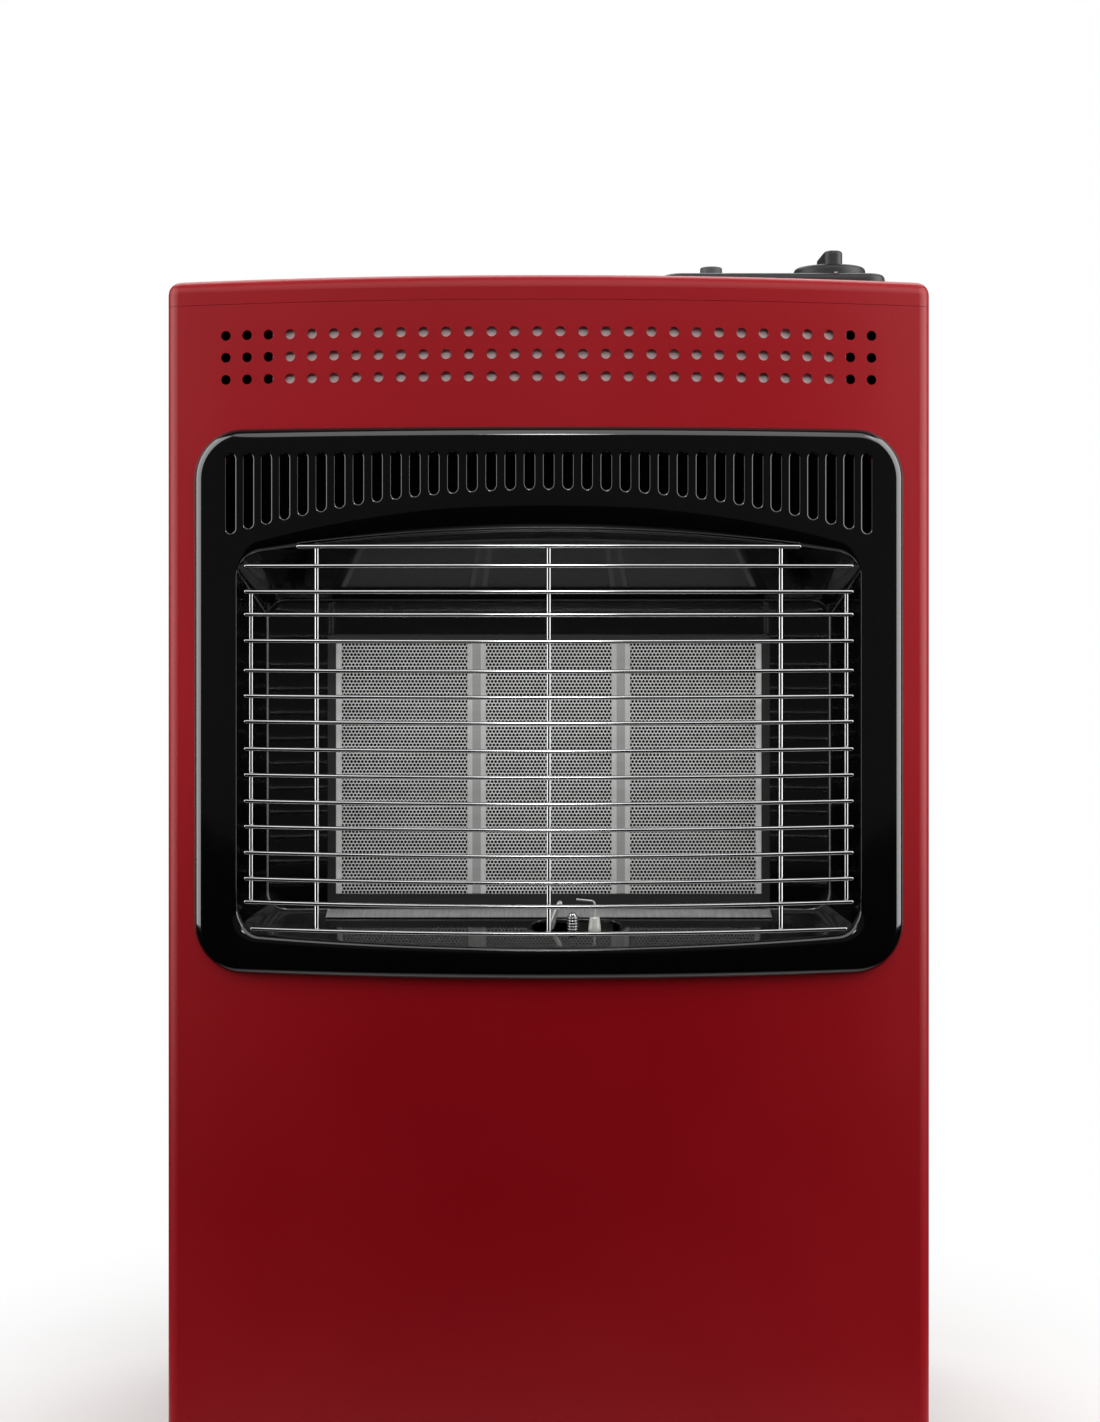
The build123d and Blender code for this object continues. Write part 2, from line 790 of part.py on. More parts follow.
def burner_box():
    """Gas chamber behind the plaques: flange, walls, two partitions and a ledge."""
    box = burner_rect(0, box_front_y, box_depth)
    box -= burner_rect(-box_sheet, box_front_y - 1, box_depth + 1 - box_sheet)
    box += burner_rect(frame_flange, box_front_y, box_sheet) - burner_rect(0, box_front_y - 1, 4)
    low = burner_bottom_z + frame_margin
    high = low + plaque_height
    ledge = burner_rect(-box_sheet / 2, ledge_y, ledge_sheet)
    for number in range(plaque_count):
        x = plaque_x(number)
        reach = plaque_width / 2 - ledge_width
        ledge -= block(x - reach, x + reach, ledge_y - 1, ledge_y + 4, low + ledge_width, high - ledge_width)
    box += ledge
    for number in range(plaque_count - 1):
        x = (plaque_x(number) + plaque_x(number + 1)) / 2
        box += block(x - box_sheet / 2, x + box_sheet / 2, ledge_y, box_back_y - box_sheet / 2,
                     burner_bottom_z + box_sheet / 2, burner_top_z - box_sheet / 2)
    for number in range(plaque_count):
        box -= upright(plaque_x(number), tube_y, burner_bottom_z - 1, burner_bottom_z + 4, tube_radius + slip_fit)
    for x, z in burner_screw_places():
        box -= lying_y(x, box_front_y - 1, box_front_y + 3, z, screw_radius + slip_fit)
    return box


def burner_screws():
    """Screws through the box flange, the frame flange and the surround."""
    screws = []
    for x, z in burner_screw_places():
        y = box_front_y + box_sheet
        head = lying_y(x, y, y + screw_head_height, z, screw_head_radius)
        stem = lying_y(x, frame_flange_y, y, z, screw_radius)
        screws.append(head + stem)
    return screws


def mixing_tubes():
    """Tubes that carry gas and air up into the box, with a bell mouth below."""
    tubes = []
    high = burner_bottom_z + tube_in_box
    for number in range(plaque_count):
        x = plaque_x(number)
        outer = [
            (bell_radius, tube_bottom_z),
            (tube_radius, tube_bottom_z + bell_length),
            (tube_radius, burner_bottom_z - 1.2),
            (tube_radius + 3.0, burner_bottom_z - 1.2),
            (tube_radius + 3.0, burner_bottom_z - 0.2),
            (tube_radius, burner_bottom_z - 0.2),
            (tube_radius, high),
        ]
        inner = [
            (tube_radius - tube_wall, high),
            (tube_radius - tube_wall, tube_bottom_z + bell_length),
            (bell_radius - tube_wall, tube_bottom_z),
        ]
        profile = make_face(Polyline(*outer, *inner, outer[0]))
        tube = revolve(Plane.XZ * profile, axis=Axis.Z)
        tubes.append(Pos(x, tube_y, 0) * tube)
    return tubes


def injector_rail():
    """Angle strip on the heat shield that holds the injectors."""
    half = rail_length / 2
    front = tube_y - 12.0
    rail = block(-half, half, front, shield_y - seam, rail_z, rail_z + rail_sheet)
    rail += block(-half, half, shield_y - seam - rail_sheet, shield_y - seam, rail_z, rail_z + rail_leg)
    for number in range(plaque_count):
        rail -= upright(plaque_x(number), tube_y, rail_z - 1, rail_z + 4, injector_stem())
    return rail


def injector_stem():
    return injector_hex / 3 + slip_fit


def injectors():
    """Brass injectors: pipe nut below the rail, hexagon and tip above it."""
    pieces = []
    for number in range(plaque_count):
        x = plaque_x(number)
        piece = hexagon(x, tube_y, injector_bottom_z, rail_z, injector_hex)
        piece += upright(x, tube_y, rail_z - 1, rail_z + rail_sheet + 1, injector_hex / 3)
        piece += hexagon(x, tube_y, rail_z + rail_sheet, rail_z + rail_sheet + 8, injector_hex)
        piece += upright(x, tube_y, rail_z + rail_sheet + 8, injector_top_z, injector_tip_radius)
        piece -= upright(x, tube_y, rail_z + rail_sheet, injector_top_z + 1, 0.6)
        pieces.append(piece)
    return pieces


def gas_outlet_x(number):
    """X of the valve's outlets; number -1 is the pilot's."""
    return valve_x + (number - (plaque_count - 1) / 2 + 0.6) * pipe_pitch


def gas_pipe(number):
    """Pipe from a valve outlet, through the shield's slot, to one injector."""
    order = plaque_count - 1 - number
    x0 = gas_outlet_x(order)
    x1 = plaque_x(number)
    level = injector_bottom_z - 20.0 - order * gas_pipe_step
    points = [
        (x0, riser_y(), valve_bottom_z - 8.0),
        (x0, riser_y(), level),
        (x0, tube_y, level),
        (x1, tube_y, level),
        (x1, tube_y, injector_bottom_z),
    ]
    return swept_pipe(points, gas_pipe_radius, gas_pipe_bore, gas_pipe_bend)


def riser_y():
    return valve_y - 6.0


# Pilot group

def recess_floor_z(y):
    return recess_size(y)[1]


def pilot_bracket():
    """Plate under the recess floor with a leg up to the burner box."""
    low = bracket_z
    plate = block(pilot_cutout_x - 24, pilot_cutout_x + 24, pilot_y - 9, box_front_y + 6, low, low + bracket_sheet)
    leg_y = box_front_y + 6
    leg = block(pilot_x - 1, insulator_x + 11, leg_y - bracket_sheet, leg_y, low, burner_bottom_z - seam)
    tab = block(pilot_x - 1, insulator_x + 11, leg_y - bracket_sheet, leg_y + 12,
                burner_bottom_z - seam - bracket_sheet, burner_bottom_z - seam)
    bracket = plate + leg + tab
    bracket -= upright(pilot_x, pilot_y, low - 1, low + 3, pilot_radius + slip_fit)
    bracket -= upright(insulator_x, pilot_y, low - 1, low + 3, insulator_radius + slip_fit)
    bracket -= probe_rod(probe_radius + 0.6, bracket_drop)
    return bracket


def pilot_burner():
    """Ribbed pilot burner with a domed end and a nut below the bracket."""
    low = bracket_z
    high = low + pilot_height - pilot_radius
    core = upright(pilot_x, pilot_y, low - 1, high, pilot_radius - pilot_rib)
    core += Pos(pilot_x, pilot_y, high) * Sphere(pilot_radius - pilot_rib)
    ribs = int((high - low - 2 * bracket_sheet) / pilot_rib_pitch)
    for number in range(ribs):
        z = low + 2 * bracket_sheet + number * pilot_rib_pitch
        core += upright(pilot_x, pilot_y, z, z + pilot_rib_pitch / 2, pilot_radius)
    core += upright(pilot_x, pilot_y, low - 1, low + bracket_sheet + 0.6, pilot_radius)
    core += hexagon(pilot_x, pilot_y, low - 8, low, 10.0)
    return core


def electrode_insulator():
    """Ceramic sleeve that narrows near its top."""
    low = bracket_z - 10.0
    high = low + insulator_height
    profile = Polyline(
        (0, low),
        (insulator_radius - 0.5, low),
        (insulator_radius - 0.5, bracket_z - 1.5),
        (insulator_radius + 1.2, bracket_z - 1.5),
        (insulator_radius + 1.2, bracket_z - 0.1),
        (insulator_radius, bracket_z - 0.1),
        (insulator_radius, high - 6.5),
        (insulator_tip_radius, high - 0.8),
        (insulator_tip_radius - 0.8, high),
        (0, high),
        (0, low),
    )
    sleeve = revolve(Plane.XZ * make_face(profile), axis=Axis.Z)
    return Pos(insulator_x, pilot_y, 0) * sleeve


def electrode_top_z():
    return bracket_z - 10.0 + insulator_height


def electrode_wire():
    """Spark wire, up from the insulator and bent over towards the pilot."""
    low = electrode_top_z()
    points = [
        (insulator_x, pilot_y, low),
        (insulator_x, pilot_y, low + electrode_rise),
        (insulator_x - electrode_reach, pilot_y, low + electrode_rise + 1.0),
    ]
    return swept_rod(points, electrode_radius, 2.0)


def probe_ends():
    """Lower and upper end of the leaning thermocouple probe."""
    floor = recess_floor_z(pilot_y)
    slope = probe_lean / probe_rise
    low = Vector(probe_x - slope * probe_below, pilot_y, floor - probe_below)
    high = Vector(probe_x + probe_lean, pilot_y, floor + probe_rise)
    return low, high


def probe_rod(radius, below=0.0):
    """The probe as a plain rod, carried on below its lower end if wanted."""
    low, high = probe_ends()
    low -= (high - low).normalized() * below
    return swept_rod([tuple(low), tuple(high)], radius, 0)


def thermocouple():
    """Leaning probe with a collar where the bracket holds it."""
    low, high = probe_ends()
    along = (high - low).normalized()
    rod = probe_rod(probe_radius)
    collar = Plane(origin=low + along * 9.0, z_dir=along) * Pos(0, 0, 2) * Cylinder(probe_radius + 0.7, 4.0)
    tip = Plane(origin=high, z_dir=along) * Sphere(probe_radius)
    return rod + collar + tip


def pilot_pipe():
    """Thin pipe from the valve to the pilot burner."""
    x0 = gas_outlet_x(-1)
    level = injector_bottom_z - 8.0
    points = [
        (x0, riser_y(), valve_bottom_z - 8.0),
        (x0, riser_y(), level),
        (x0, pilot_y + 8, level),
        (pilot_x, pilot_y, level),
        (pilot_x, pilot_y, bracket_z - 8.0),
    ]
    return swept_pipe(points, pilot_pipe_radius, pilot_pipe_radius / 2, pilot_pipe_bend)


def thermocouple_lead():
    """Copper capillary from the probe, down and back through the shield, up to the valve."""
    low, high = probe_ends()
    along = (high - low).normalized()
    start = tuple(low)
    below = tuple(low - along * 30.0)
    behind = shield_back_y + capillary_radius + 1.4
    points = [
        start,
        below,
        (6.0, pilot_y + 5, injector_bottom_z + 36),
        (38.0, pilot_y + 10, injector_bottom_z + 16),
        (96.0, pilot_y + 12, injector_bottom_z + 8),
        (capillary_x, pilot_y + 26, injector_bottom_z - 2),
        (capillary_x + 1.0, behind, injector_bottom_z - 8),
        (capillary_x, behind, injector_bottom_z + 50),
        (capillary_x, behind, valve_bottom_z - 60),
        (valve_x - capillary_entry, valve_y - 8, valve_bottom_z - 26),
        (valve_x - capillary_entry, valve_y - 8, valve_bottom_z),
    ]
    radii = cord_radii(points)
    print("thermocouple lead bends:", [round(radius, 1) for radius in radii])
    return swept_rod(points, capillary_radius, radii)


def ignition_lead():
    """High tension lead from the igniter, down the shield, to the ceramic insulator."""
    behind = shield_back_y + lead_radius + 0.6
    points = [
        (piezo_x, valve_y, piezo_bottom_z()),
        (piezo_x, valve_y, piezo_bottom_z() - 26),
        (lead_x - 11.0, behind, piezo_bottom_z() - 66),
        (lead_x, behind, piezo_bottom_z() - 130),
        (lead_x, behind, injector_bottom_z + 52),
        (lead_x, behind + 0.5, injector_bottom_z - 8),
        (lead_x - 2.0, pilot_y + 36, injector_bottom_z - 6),
        (86.0, pilot_y + 28, injector_bottom_z - 5),
        (44.0, pilot_y + 27, injector_bottom_z - 2),
        (insulator_x + 2, pilot_y + 20, injector_bottom_z + 34),
        (insulator_x, pilot_y, injector_bottom_z + 70),
        (insulator_x, pilot_y, bracket_z - 10.0),
    ]
    radii = cord_radii(points)
    print("ignition lead bends:", [round(radius, 1) for radius in radii])
    return swept_rod(points, lead_radius, radii)


# Heat shield

def heat_shield():
    """Galvanised partition between the burner and the bottle."""
    half = body_half - sheet - base_sheet - 2 * seam
    z0 = base_top_z + seam
    z1 = cabinet_top_z - top_height - shield_clear_top
    shield = block(-half, half, shield_y, shield_back_y, z0, z1)
    for side in (-1, 1):
        x0, x1 = sorted((side * half, side * (half - sheet)))
        shield += block(x0, x1, shield_y, shield_y + shield_flange, z0, z1)
    slot_top = injector_bottom_z + 20.0
    shield -= block(shield_slot_left, shield_slot_left + shield_slot_width, shield_y - 1, shield_back_y + 1,
                    slot_top - shield_slot_height, slot_top)
    return shield


# Controls

def neck_top_z():
    return cabinet_top_z + neck_nut_height


def gas_valve():
    """Valve body with a threaded neck, four outlets below and the inlet behind."""
    x0 = valve_x - valve_width / 2
    y0 = valve_y - valve_depth / 2
    body = block(x0, x0 + valve_width, y0, y0 + valve_depth, valve_bottom_z, valve_top_z)
    body = fillet(body.edges().filter_by(Axis.Z), 4.0)
    body += upright(valve_x, valve_y, valve_top_z - 1, valve_top_z + 6, neck_radius + 5.0)
    body += upright(valve_x, valve_y, valve_top_z, neck_top_z(), neck_radius)
    for number in range(plaque_count):
        body += upright(gas_outlet_x(number), riser_y(), valve_bottom_z - 8, valve_bottom_z + 1, 4.2)
    body += upright(gas_outlet_x(-1), riser_y(), valve_bottom_z - 8, valve_bottom_z + 1, 3.2)
    magnet_x = x0
    body += lying_x(magnet_x - 12, magnet_x + 1, valve_y + 6, valve_bottom_z + 14, 8.0)
    body -= upright(valve_x, valve_y, valve_top_z - 20, neck_top_z() + 1, spindle_radius + running_fit)
    inlet_z = valve_bottom_z + valve_height / 2
    body -= lying_y(valve_x, valve_y + valve_depth / 2 - 6, valve_y + valve_depth / 2 + 1, inlet_z, nozzle_thread)
    return body


def valve_spindle():
    """Turning spindle with a flat for the knob."""
    low = valve_top_z - 20 + moving_gap
    high = knob_bottom_z() + knob_height - knob_roof - knob_push - moving_gap
    spindle = upright(valve_x, valve_y, low, high, spindle_radius)
    flat_low = neck_top_z() + 0.5
    spindle -= block(valve_x - 6, valve_x + 6, valve_y + spindle_radius - spindle_flat, valve_y + 8, flat_low, high + 1)
    return spindle


def control_nuts():
    """Nut on the valve neck above the top panel and nut on the igniter below it."""
    top = cabinet_top_z
    neck = hexagon(valve_x, valve_y, top, top + neck_nut_height, neck_nut_across)
    neck -= upright(valve_x, valve_y, top - 1, top + 9, neck_radius + slip_fit)
    low = top - sheet - 4.0
    ring = hexagon(piezo_x, valve_y, low, top - sheet, 2 * piezo_radius + 6)
    ring -= upright(piezo_x, valve_y, low - 1, top, piezo_radius + slip_fit)
    return [neck, ring]


def bezel_top_z():
    return cabinet_top_z + bezel_height


def control_bezel():
    """Moulded housing on the top panel with a round well for the knob."""
    x = bezel_right - bezel_width / 2
    low = cabinet_top_z
    bezel = Pos(x, valve_y, low) * extrude(RectangleRounded(bezel_width, bezel_depth, bezel_corner), amount=bezel_height)
    bezel = fillet(bezel.faces().sort_by(Axis.Z)[-1].edges(), 3.0)
    hollow = Pos(x, valve_y, low - 1) * extrude(
        RectangleRounded(bezel_width - 2 * bezel_wall, bezel_depth - 2 * bezel_wall, bezel_corner - bezel_wall),
        amount=bezel_height + 1 - bezel_wall,
    )
    floor_z = bezel_top_z() - well_depth
    hollow -= upright(valve_x, valve_y, floor_z - bezel_wall, bezel_top_z(), well_radius + bezel_wall)
    bezel -= hollow
    bezel -= upright(valve_x, valve_y, floor_z, bezel_top_z() + 1, well_radius)
    bezel -= upright(valve_x, valve_y, low - 1, bezel_top_z(), neck_nut_across / 2 + 4)
    bezel -= upright(piezo_x, valve_y, low - 1, bezel_top_z() + 1, piezo_radius + slip_fit)
    return bezel


def knob_bottom_z():
    return bezel_top_z() - well_depth + knob_push + moving_gap


def control_knob():
    """Round knob with a raised grip bar and a bore that fits the spindle's flat."""
    low = knob_bottom_z()
    skirt = upright(valve_x, valve_y, low, low + knob_height / 2, knob_radius)
    skirt = fillet(skirt.faces().sort_by(Axis.Z)[-1].edges(), 2.5)
    bar = Pos(valve_x, valve_y, low) * extrude(RectangleRounded(11.0, 2 * knob_radius - 3, 5.0), amount=knob_height)
    bar = fillet(bar.faces().sort_by(Axis.Z)[-1].edges(), 2.0)
    knob = skirt + bar
    roof = low + knob_height - knob_roof
    bore = upright(valve_x, valve_y, low - 1, roof, spindle_radius + running_fit)
    bore -= block(valve_x - 6, valve_x + 6, valve_y + spindle_radius - spindle_flat + running_fit, valve_y + 8,
                  low - 2, roof + 1)
    hub = upright(valve_x, valve_y, low - 1, low + 2.5, knob_radius - 2.5)
    hub -= upright(valve_x, valve_y, low - 2, low + 4, spindle_radius + 3.0)
    return knob - bore - hub


def piezo_bottom_z():
    return cabinet_top_z - piezo_length


def button_bottom_z():
    return bezel_top_z() + button_proud - 15.0


def piezo_igniter():
    """Igniter barrel with a flange on the bezel and a bore for its button."""
    top = bezel_top_z()
    barrel = upright(piezo_x, valve_y, piezo_bottom_z(), top, piezo_radius)
    barrel += upright(piezo_x, valve_y, top, top + 1.5, piezo_flange_radius)
    bore_low = button_bottom_z() - button_push - moving_gap
    barrel -= upright(piezo_x, valve_y, bore_low, top + 3, button_radius + running_fit)
    return barrel


def piezo_button():
    """Push button of the igniter."""
    low = button_bottom_z()
    button = upright(piezo_x, valve_y, low, low + 15.0, button_radius)
    return fillet(button.faces().sort_by(Axis.Z)[-1].edges(), 1.2)


def inlet_nozzle():
    """Hose nozzle: hexagon, two raised rings and a plain tail."""
    y0 = valve_y + valve_depth / 2
    z = valve_bottom_z + valve_height / 2
    y1 = y0 + nozzle_hex_length
    tail = y1 + nozzle_length
    piece = lying_hex(valve_x, y0, y1, z, nozzle_hex)
    piece += lying_y(valve_x, y0 - 5.0, y0 + 1, z, nozzle_thread - slip_fit)
    piece += lying_y(valve_x, y1 - 1, tail - nozzle_plain, z, nozzle_root)
    piece += lying_y(valve_x, tail - nozzle_plain, tail, z, nozzle_radius)
    ring_y = tail - nozzle_plain - 4.0
    piece += lying_y(valve_x, ring_y, ring_y + 2.0, z, nozzle_barb)
    piece += lying_y(valve_x, ring_y - 5.0, ring_y - 3.0, z, nozzle_barb)
    piece -= lying_y(valve_x, y0 - 6.0, tail + 1, z, nozzle_bore)
    return piece


# Base, rear cover and upper back panel

def bottle_seat(inset, z0, z1):
    """The raised middle of the floor, on which the bottle stands."""
    front = shield_back_y + bottle_seat_front
    rear = side_back_y - bottle_seat_rear
    outline = RectangleRounded(2 * (bottle_seat_half - inset), rear - front - 2 * inset, bottle_seat_corner - inset)
    return Pos(0, (front + rear) / 2, z0) * extrude(outline, amount=z1 - z0)


def base_tray():
    """Pressed floor with a raised edge, a low lip behind and ears for the cover's pins."""
    inset = sheet + seam
    rear = side_back_y - sheet - seam
    tray = extrude(cabinet_outline(inset, rear), amount=base_flange)
    hollow = extrude(cabinet_outline(inset + base_sheet, rear - base_sheet), amount=base_flange)
    tray = Pos(0, 0, castor_height) * (tray - Pos(0, 0, base_sheet) * hollow)
    tray -= block(-body_half, body_half, rear - base_sheet - 1, rear + 1,
                  castor_height + base_rear_lip, castor_height + base_flange + 1)
    skirt = extrude(cabinet_outline(0, side_back_y) - cabinet_outline(inset + seam, rear - seam), amount=panel_lift - seam)
    tray += Pos(0, 0, castor_height) * skirt
    tray += bottle_seat(0, base_top_z - base_sheet / 2, base_top_z + bottle_seat_rise)
    tray -= bottle_seat(base_sheet, castor_height - 1, castor_height + bottle_seat_rise)
    for side in (-1, 1):
        for y in (-40.0, 90.0):
            tray -= Pos(side * 70.0, y, castor_height - 1) * extrude(
                SlotOverall(base_slot_length, base_slot_width), amount=base_sheet + bottle_seat_rise + 2)
        x0, x1 = sorted((side * (body_half - hinge_ear_inset), side * (body_half - hinge_ear_inset - hinge_ear_sheet)))
        ear = block(x0, x1, side_back_y - 24, rear, castor_height + base_sheet / 2, hinge_z + hinge_ear_radius)
        ear += block(x0, x1, rear - 1, hinge_y, hinge_z - hinge_ear_radius, hinge_z + hinge_ear_radius)
        ear += lying_x(x0, x1, hinge_y, hinge_z, hinge_ear_radius)
        tray += ear
        tray -= lying_x(x0 - 1, x1 + 1, hinge_y, hinge_z, hinge_pin_radius + slip_fit / 2)
    return tray


def hinge_pins():
    """Pins through the base's ears that carry the rear cover."""
    pins = []
    for side in (-1, 1):
        inner = body_half - hinge_ear_inset - hinge_ear_sheet
        outer = cover_half + 1.0
        x0, x1 = sorted((side * (inner - 1.0), side * outer))
        pin = lying_x(x0, x1, hinge_y, hinge_z, hinge_pin_radius)
        h0, h1 = sorted((side * (inner - 1.0), side * (inner - 3.0)))
        pins.append(pin + lying_x(h0, h1, hinge_y, hinge_z, hinge_pin_radius + 2.0))
    return pins


def cover_outline(inset):
    """Plan outline of the rear cover, bowed to the rear."""
    half = cover_half - inset
    radius = (cover_half**2 + cover_bow**2) / (2 * cover_bow)
    centre_y = back_y - radius
    radius -= inset
    side_y = centre_y + math.sqrt(radius**2 - half**2)
    arc = ThreePointArc((half, side_y), (0, centre_y + radius), (-half, side_y))
    sides = Polyline((-half, side_y), (-half, cover_front_y), (half, cover_front_y), (half, side_y))
    outline = make_face(Curve() + [arc, sides])
    corners = outline.vertices().sort_by(Axis.Y)[-2:]
    return fillet(corners, cover_edge_radius - inset)


def rear_cover():
    """Drop-down cover: bowed sheet, closed top, side lugs round the pins, vent slots."""
    low = hinge_z - cover_lug_radius
    solid = Pos(0, 0, low) * extrude(cover_outline(0), amount=cover_top_z - low)
    hollow = Pos(0, 0, cover_bottom_z + sheet) * extrude(
        cover_outline(sheet), amount=cover_top_z - cover_bottom_z - 2 * sheet)
    hollow += block(-cover_half + sheet, cover_half - sheet, cover_front_y - 1, cover_front_y + 2 * sheet,
                    low - 1, cover_top_z - sheet)
    flange = Pos(0, back_y - cover_flange + body_depth / 2) * Rectangle(2 * body_width, body_depth)
    mouth = cover_outline(sheet) - flange
    cover = solid - hollow - Pos(0, 0, low - 1) * extrude(mouth, amount=cover_bottom_z + 2 * sheet - low + 1)
    cover -= block(-body_half, body_half, hinge_y + cover_lug_radius, back_y + 1, low - 1, cover_bottom_z)
    lower = block(-body_half, body_half, cover_front_y - 1, hinge_y + cover_lug_radius, low - 1, hinge_z)
    lower -= lying_x(-body_half, body_half, hinge_y, hinge_z, cover_lug_radius)
    cover -= lower
    cover -= lying_x(-body_half, body_half, hinge_y, hinge_z, hinge_pin_radius + running_fit)
    slots = []
    for side in (-1, 0, 1):
        for row in range(cover_slot_rows):
            for base_z in (cover_bottom_z + 50.0, cover_top_z - 150.0):
                slots.append(Pos(side * 100.0, base_z + row * cover_slot_pitch)
                             * SlotOverall(cover_slot_length, cover_slot_width))
    slots.append(Pos(0, cover_top_z - 36.0) * SlotOverall(cover_pull_length, cover_pull_height))
    cover -= Pos(0, back_y + 1, 0) * extrude(Plane.XZ * (Sketch() + slots), amount=cover_bow + 8)
    return cover


def upper_back_panel():
    """Fixed sheet across the back above the rear cover."""
    y1 = side_back_y - sheet - seam
    half = body_half - 4.0
    panel = block(-half, half, y1 - sheet, y1, upper_back_z, panel_top_z - sheet - seam)
    panel += block(-half, half, y1 - panel_flange, y1, upper_back_z, upper_back_z + sheet)
    panel += block(-half, half, y1 - panel_flange, y1, panel_top_z - 2 * sheet - seam, panel_top_z - sheet - seam)
    for number in range(5):
        slot = Pos((number - 2) * 70.0, (upper_back_z + panel_top_z) / 2) * SlotOverall(50.0, 5.0)
        panel -= Pos(0, y1 + 1, 0) * extrude(Plane.XZ * slot, amount=sheet + 2)
    for side in (-1, 1):
        for z in back_screw_levels():
            panel -= lying_y(side * back_screw_x(), y1 - 3, y1 + 1, z, screw_radius + slip_fit)
    return panel


def back_screw_x():
    """X of the screws through the side panels' rear flanges."""
    return body_half - side_flange / 2 - 1.5


def back_screw_levels():
    return (upper_back_z + 14.0, panel_top_z - 14.0)


def cover_clips():
    """Two spring clips on the upper back panel that reach over the cover's top."""
    y0 = side_back_y - sheet - seam
    clips = []
    for side in (-1, 1):
        x0 = side * clip_x - clip_width / 2
        low = cover_top_z + 1.0
        leg = block(x0, x0 + clip_width, y0, y0 + clip_sheet, low, upper_back_z + 14)
        tongue = block(x0, x0 + clip_width, y0, side_back_y + clip_reach, low, low + clip_sheet)
        clips.append(leg + tongue)
    return clips


# Castors

def castor_places():
    return {
        "front_left": (-castor_x, -castor_y),
        "front_right": (castor_x, -castor_y),
        "rear_left": (-castor_x, castor_y),
        "rear_right": (castor_x, castor_y),
    }


def crown_top_z():
    return castor_height - plate_sheet - 5.0


def castor_plate(x, y):
    """Fixing plate with the upper race and the king pin."""
    plate_low = castor_height - plate_sheet
    plate = Pos(x, y, plate_low) * extrude(RectangleRounded(plate_size, plate_size, 8.0), amount=plate_sheet)
    crown_low = crown_top_z() - fork_crown_sheet
    plate += upright(x, y, crown_top_z() + moving_gap, plate_low + 0.5, race_radius)
    plate += upright(x, y, crown_low - moving_gap - 1, plate_low, king_pin_radius)
    plate += upright(x, y, crown_low - moving_gap - 2, crown_low - moving_gap, king_pin_radius + 4.0)
    for dx, dy in rivet_offsets():
        plate -= upright(x + dx, y + dy, plate_low - 1, castor_height + 1, rivet_radius + slip_fit)
    return plate


def rivet_offsets():
    reach = plate_size / 2 - 7.0
    return [(sx * reach, sy * reach) for sx in (-1, 1) for sy in (-1, 1)]


def castor_rivets():
    """Rivets that hold the castor plates to the base."""
    rivets = []
    plate_low = castor_height - plate_sheet
    for x, y in castor_places().values():
        for dx, dy in rivet_offsets():
            rivet = upright(x + dx, y + dy, plate_low - 1.4, plate_low, rivet_radius + 1.6)
            rivet += upright(x + dx, y + dy, plate_low - 0.5, castor_height, rivet_radius)
            rivets.append(rivet)
    return rivets


def fork_cheek(x, y, x0):
    """One cheek of the fork, from the crown down to the axle."""
    top = crown_top_z()
    low = top - fork_crown_sheet
    outline = make_hull([
        *(Pos(castor_trail, wheel_radius) * Circle(8.0)).edges(),
        *Polyline((-15.0, low), (16.0, low)).edges(),
    ])
    plane = Plane(origin=(x0, y, 0), x_dir=(0, 1, 0), z_dir=(1, 0, 0))
    return extrude(plane * outline, amount=fork_cheek_sheet) + block(
        x0, x0 + fork_cheek_sheet, y - 15.0, y + 16.0, low - 0.5, top - 0.5)


def castor_fork(x, y):
    """Swivelling fork: crown on the king pin and a cheek each side of the wheel."""
    top = crown_top_z()
    crown = upright(x, y, top - fork_crown_sheet, top, fork_crown_radius)
    inner = wheel_width / 2 + fork_side_gap
    fork = crown + fork_cheek(x, y, x + inner) + fork_cheek(x, y, x - inner - fork_cheek_sheet)
    fork -= upright(x, y, top - fork_crown_sheet - 1, top + 1, king_pin_radius + running_fit)
    clear = king_pin_radius + 4.0 + 2 * moving_gap
    fork -= upright(x, y, top - fork_crown_sheet - 8, top - fork_crown_sheet, clear)
    fork -= lying_x(x - 30, x + 30, y + castor_trail, wheel_radius, axle_radius + slip_fit / 2)
    return fork


def castor_axle(x, y):
    """Riveted axle of one wheel."""
    outer = wheel_width / 2 + fork_side_gap + fork_cheek_sheet
    axle = lying_x(x - outer - 1, x + outer + 1, y + castor_trail, wheel_radius, axle_radius)
    for side in (-1, 1):
        x0, x1 = sorted((x + side * outer, x + side * (outer + 1.5)))
        axle += lying_x(x0, x1, y + castor_trail, wheel_radius, axle_radius + 2.0)
    return axle


def castor_wheel(x, y):
    """Moulded wheel with a rounded tread, dished sides and a hub."""
    half = wheel_width / 2
    wheel = lying_x(-half, half, 0, 0, wheel_radius)
    wheel = fillet(wheel.edges().filter_by(GeomType.CIRCLE), 3.0)
    for side in (-1, 1):
        x0, x1 = sorted((side * half, side * (half - 4.0)))
        dish = lying_x(x0, x1, 0, 0, wheel_radius - 5.0) - lying_x(x0, x1, 0, 0, 8.0)
        wheel -= dish
    wheel -= lying_x(-half - 1, half + 1, 0, 0, axle_radius + running_fit)
    return Pos(x, y + castor_trail, wheel_radius) * wheel


# Screws of the cabinet

def body_screws():
    """Screws through the side panels' rear flanges into the upper back panel."""
    places = [(side * back_screw_x(), z) for side in (-1, 1) for z in back_screw_levels()]
    return [screw_y(x, side_back_y, z, 1) for x, z in places]


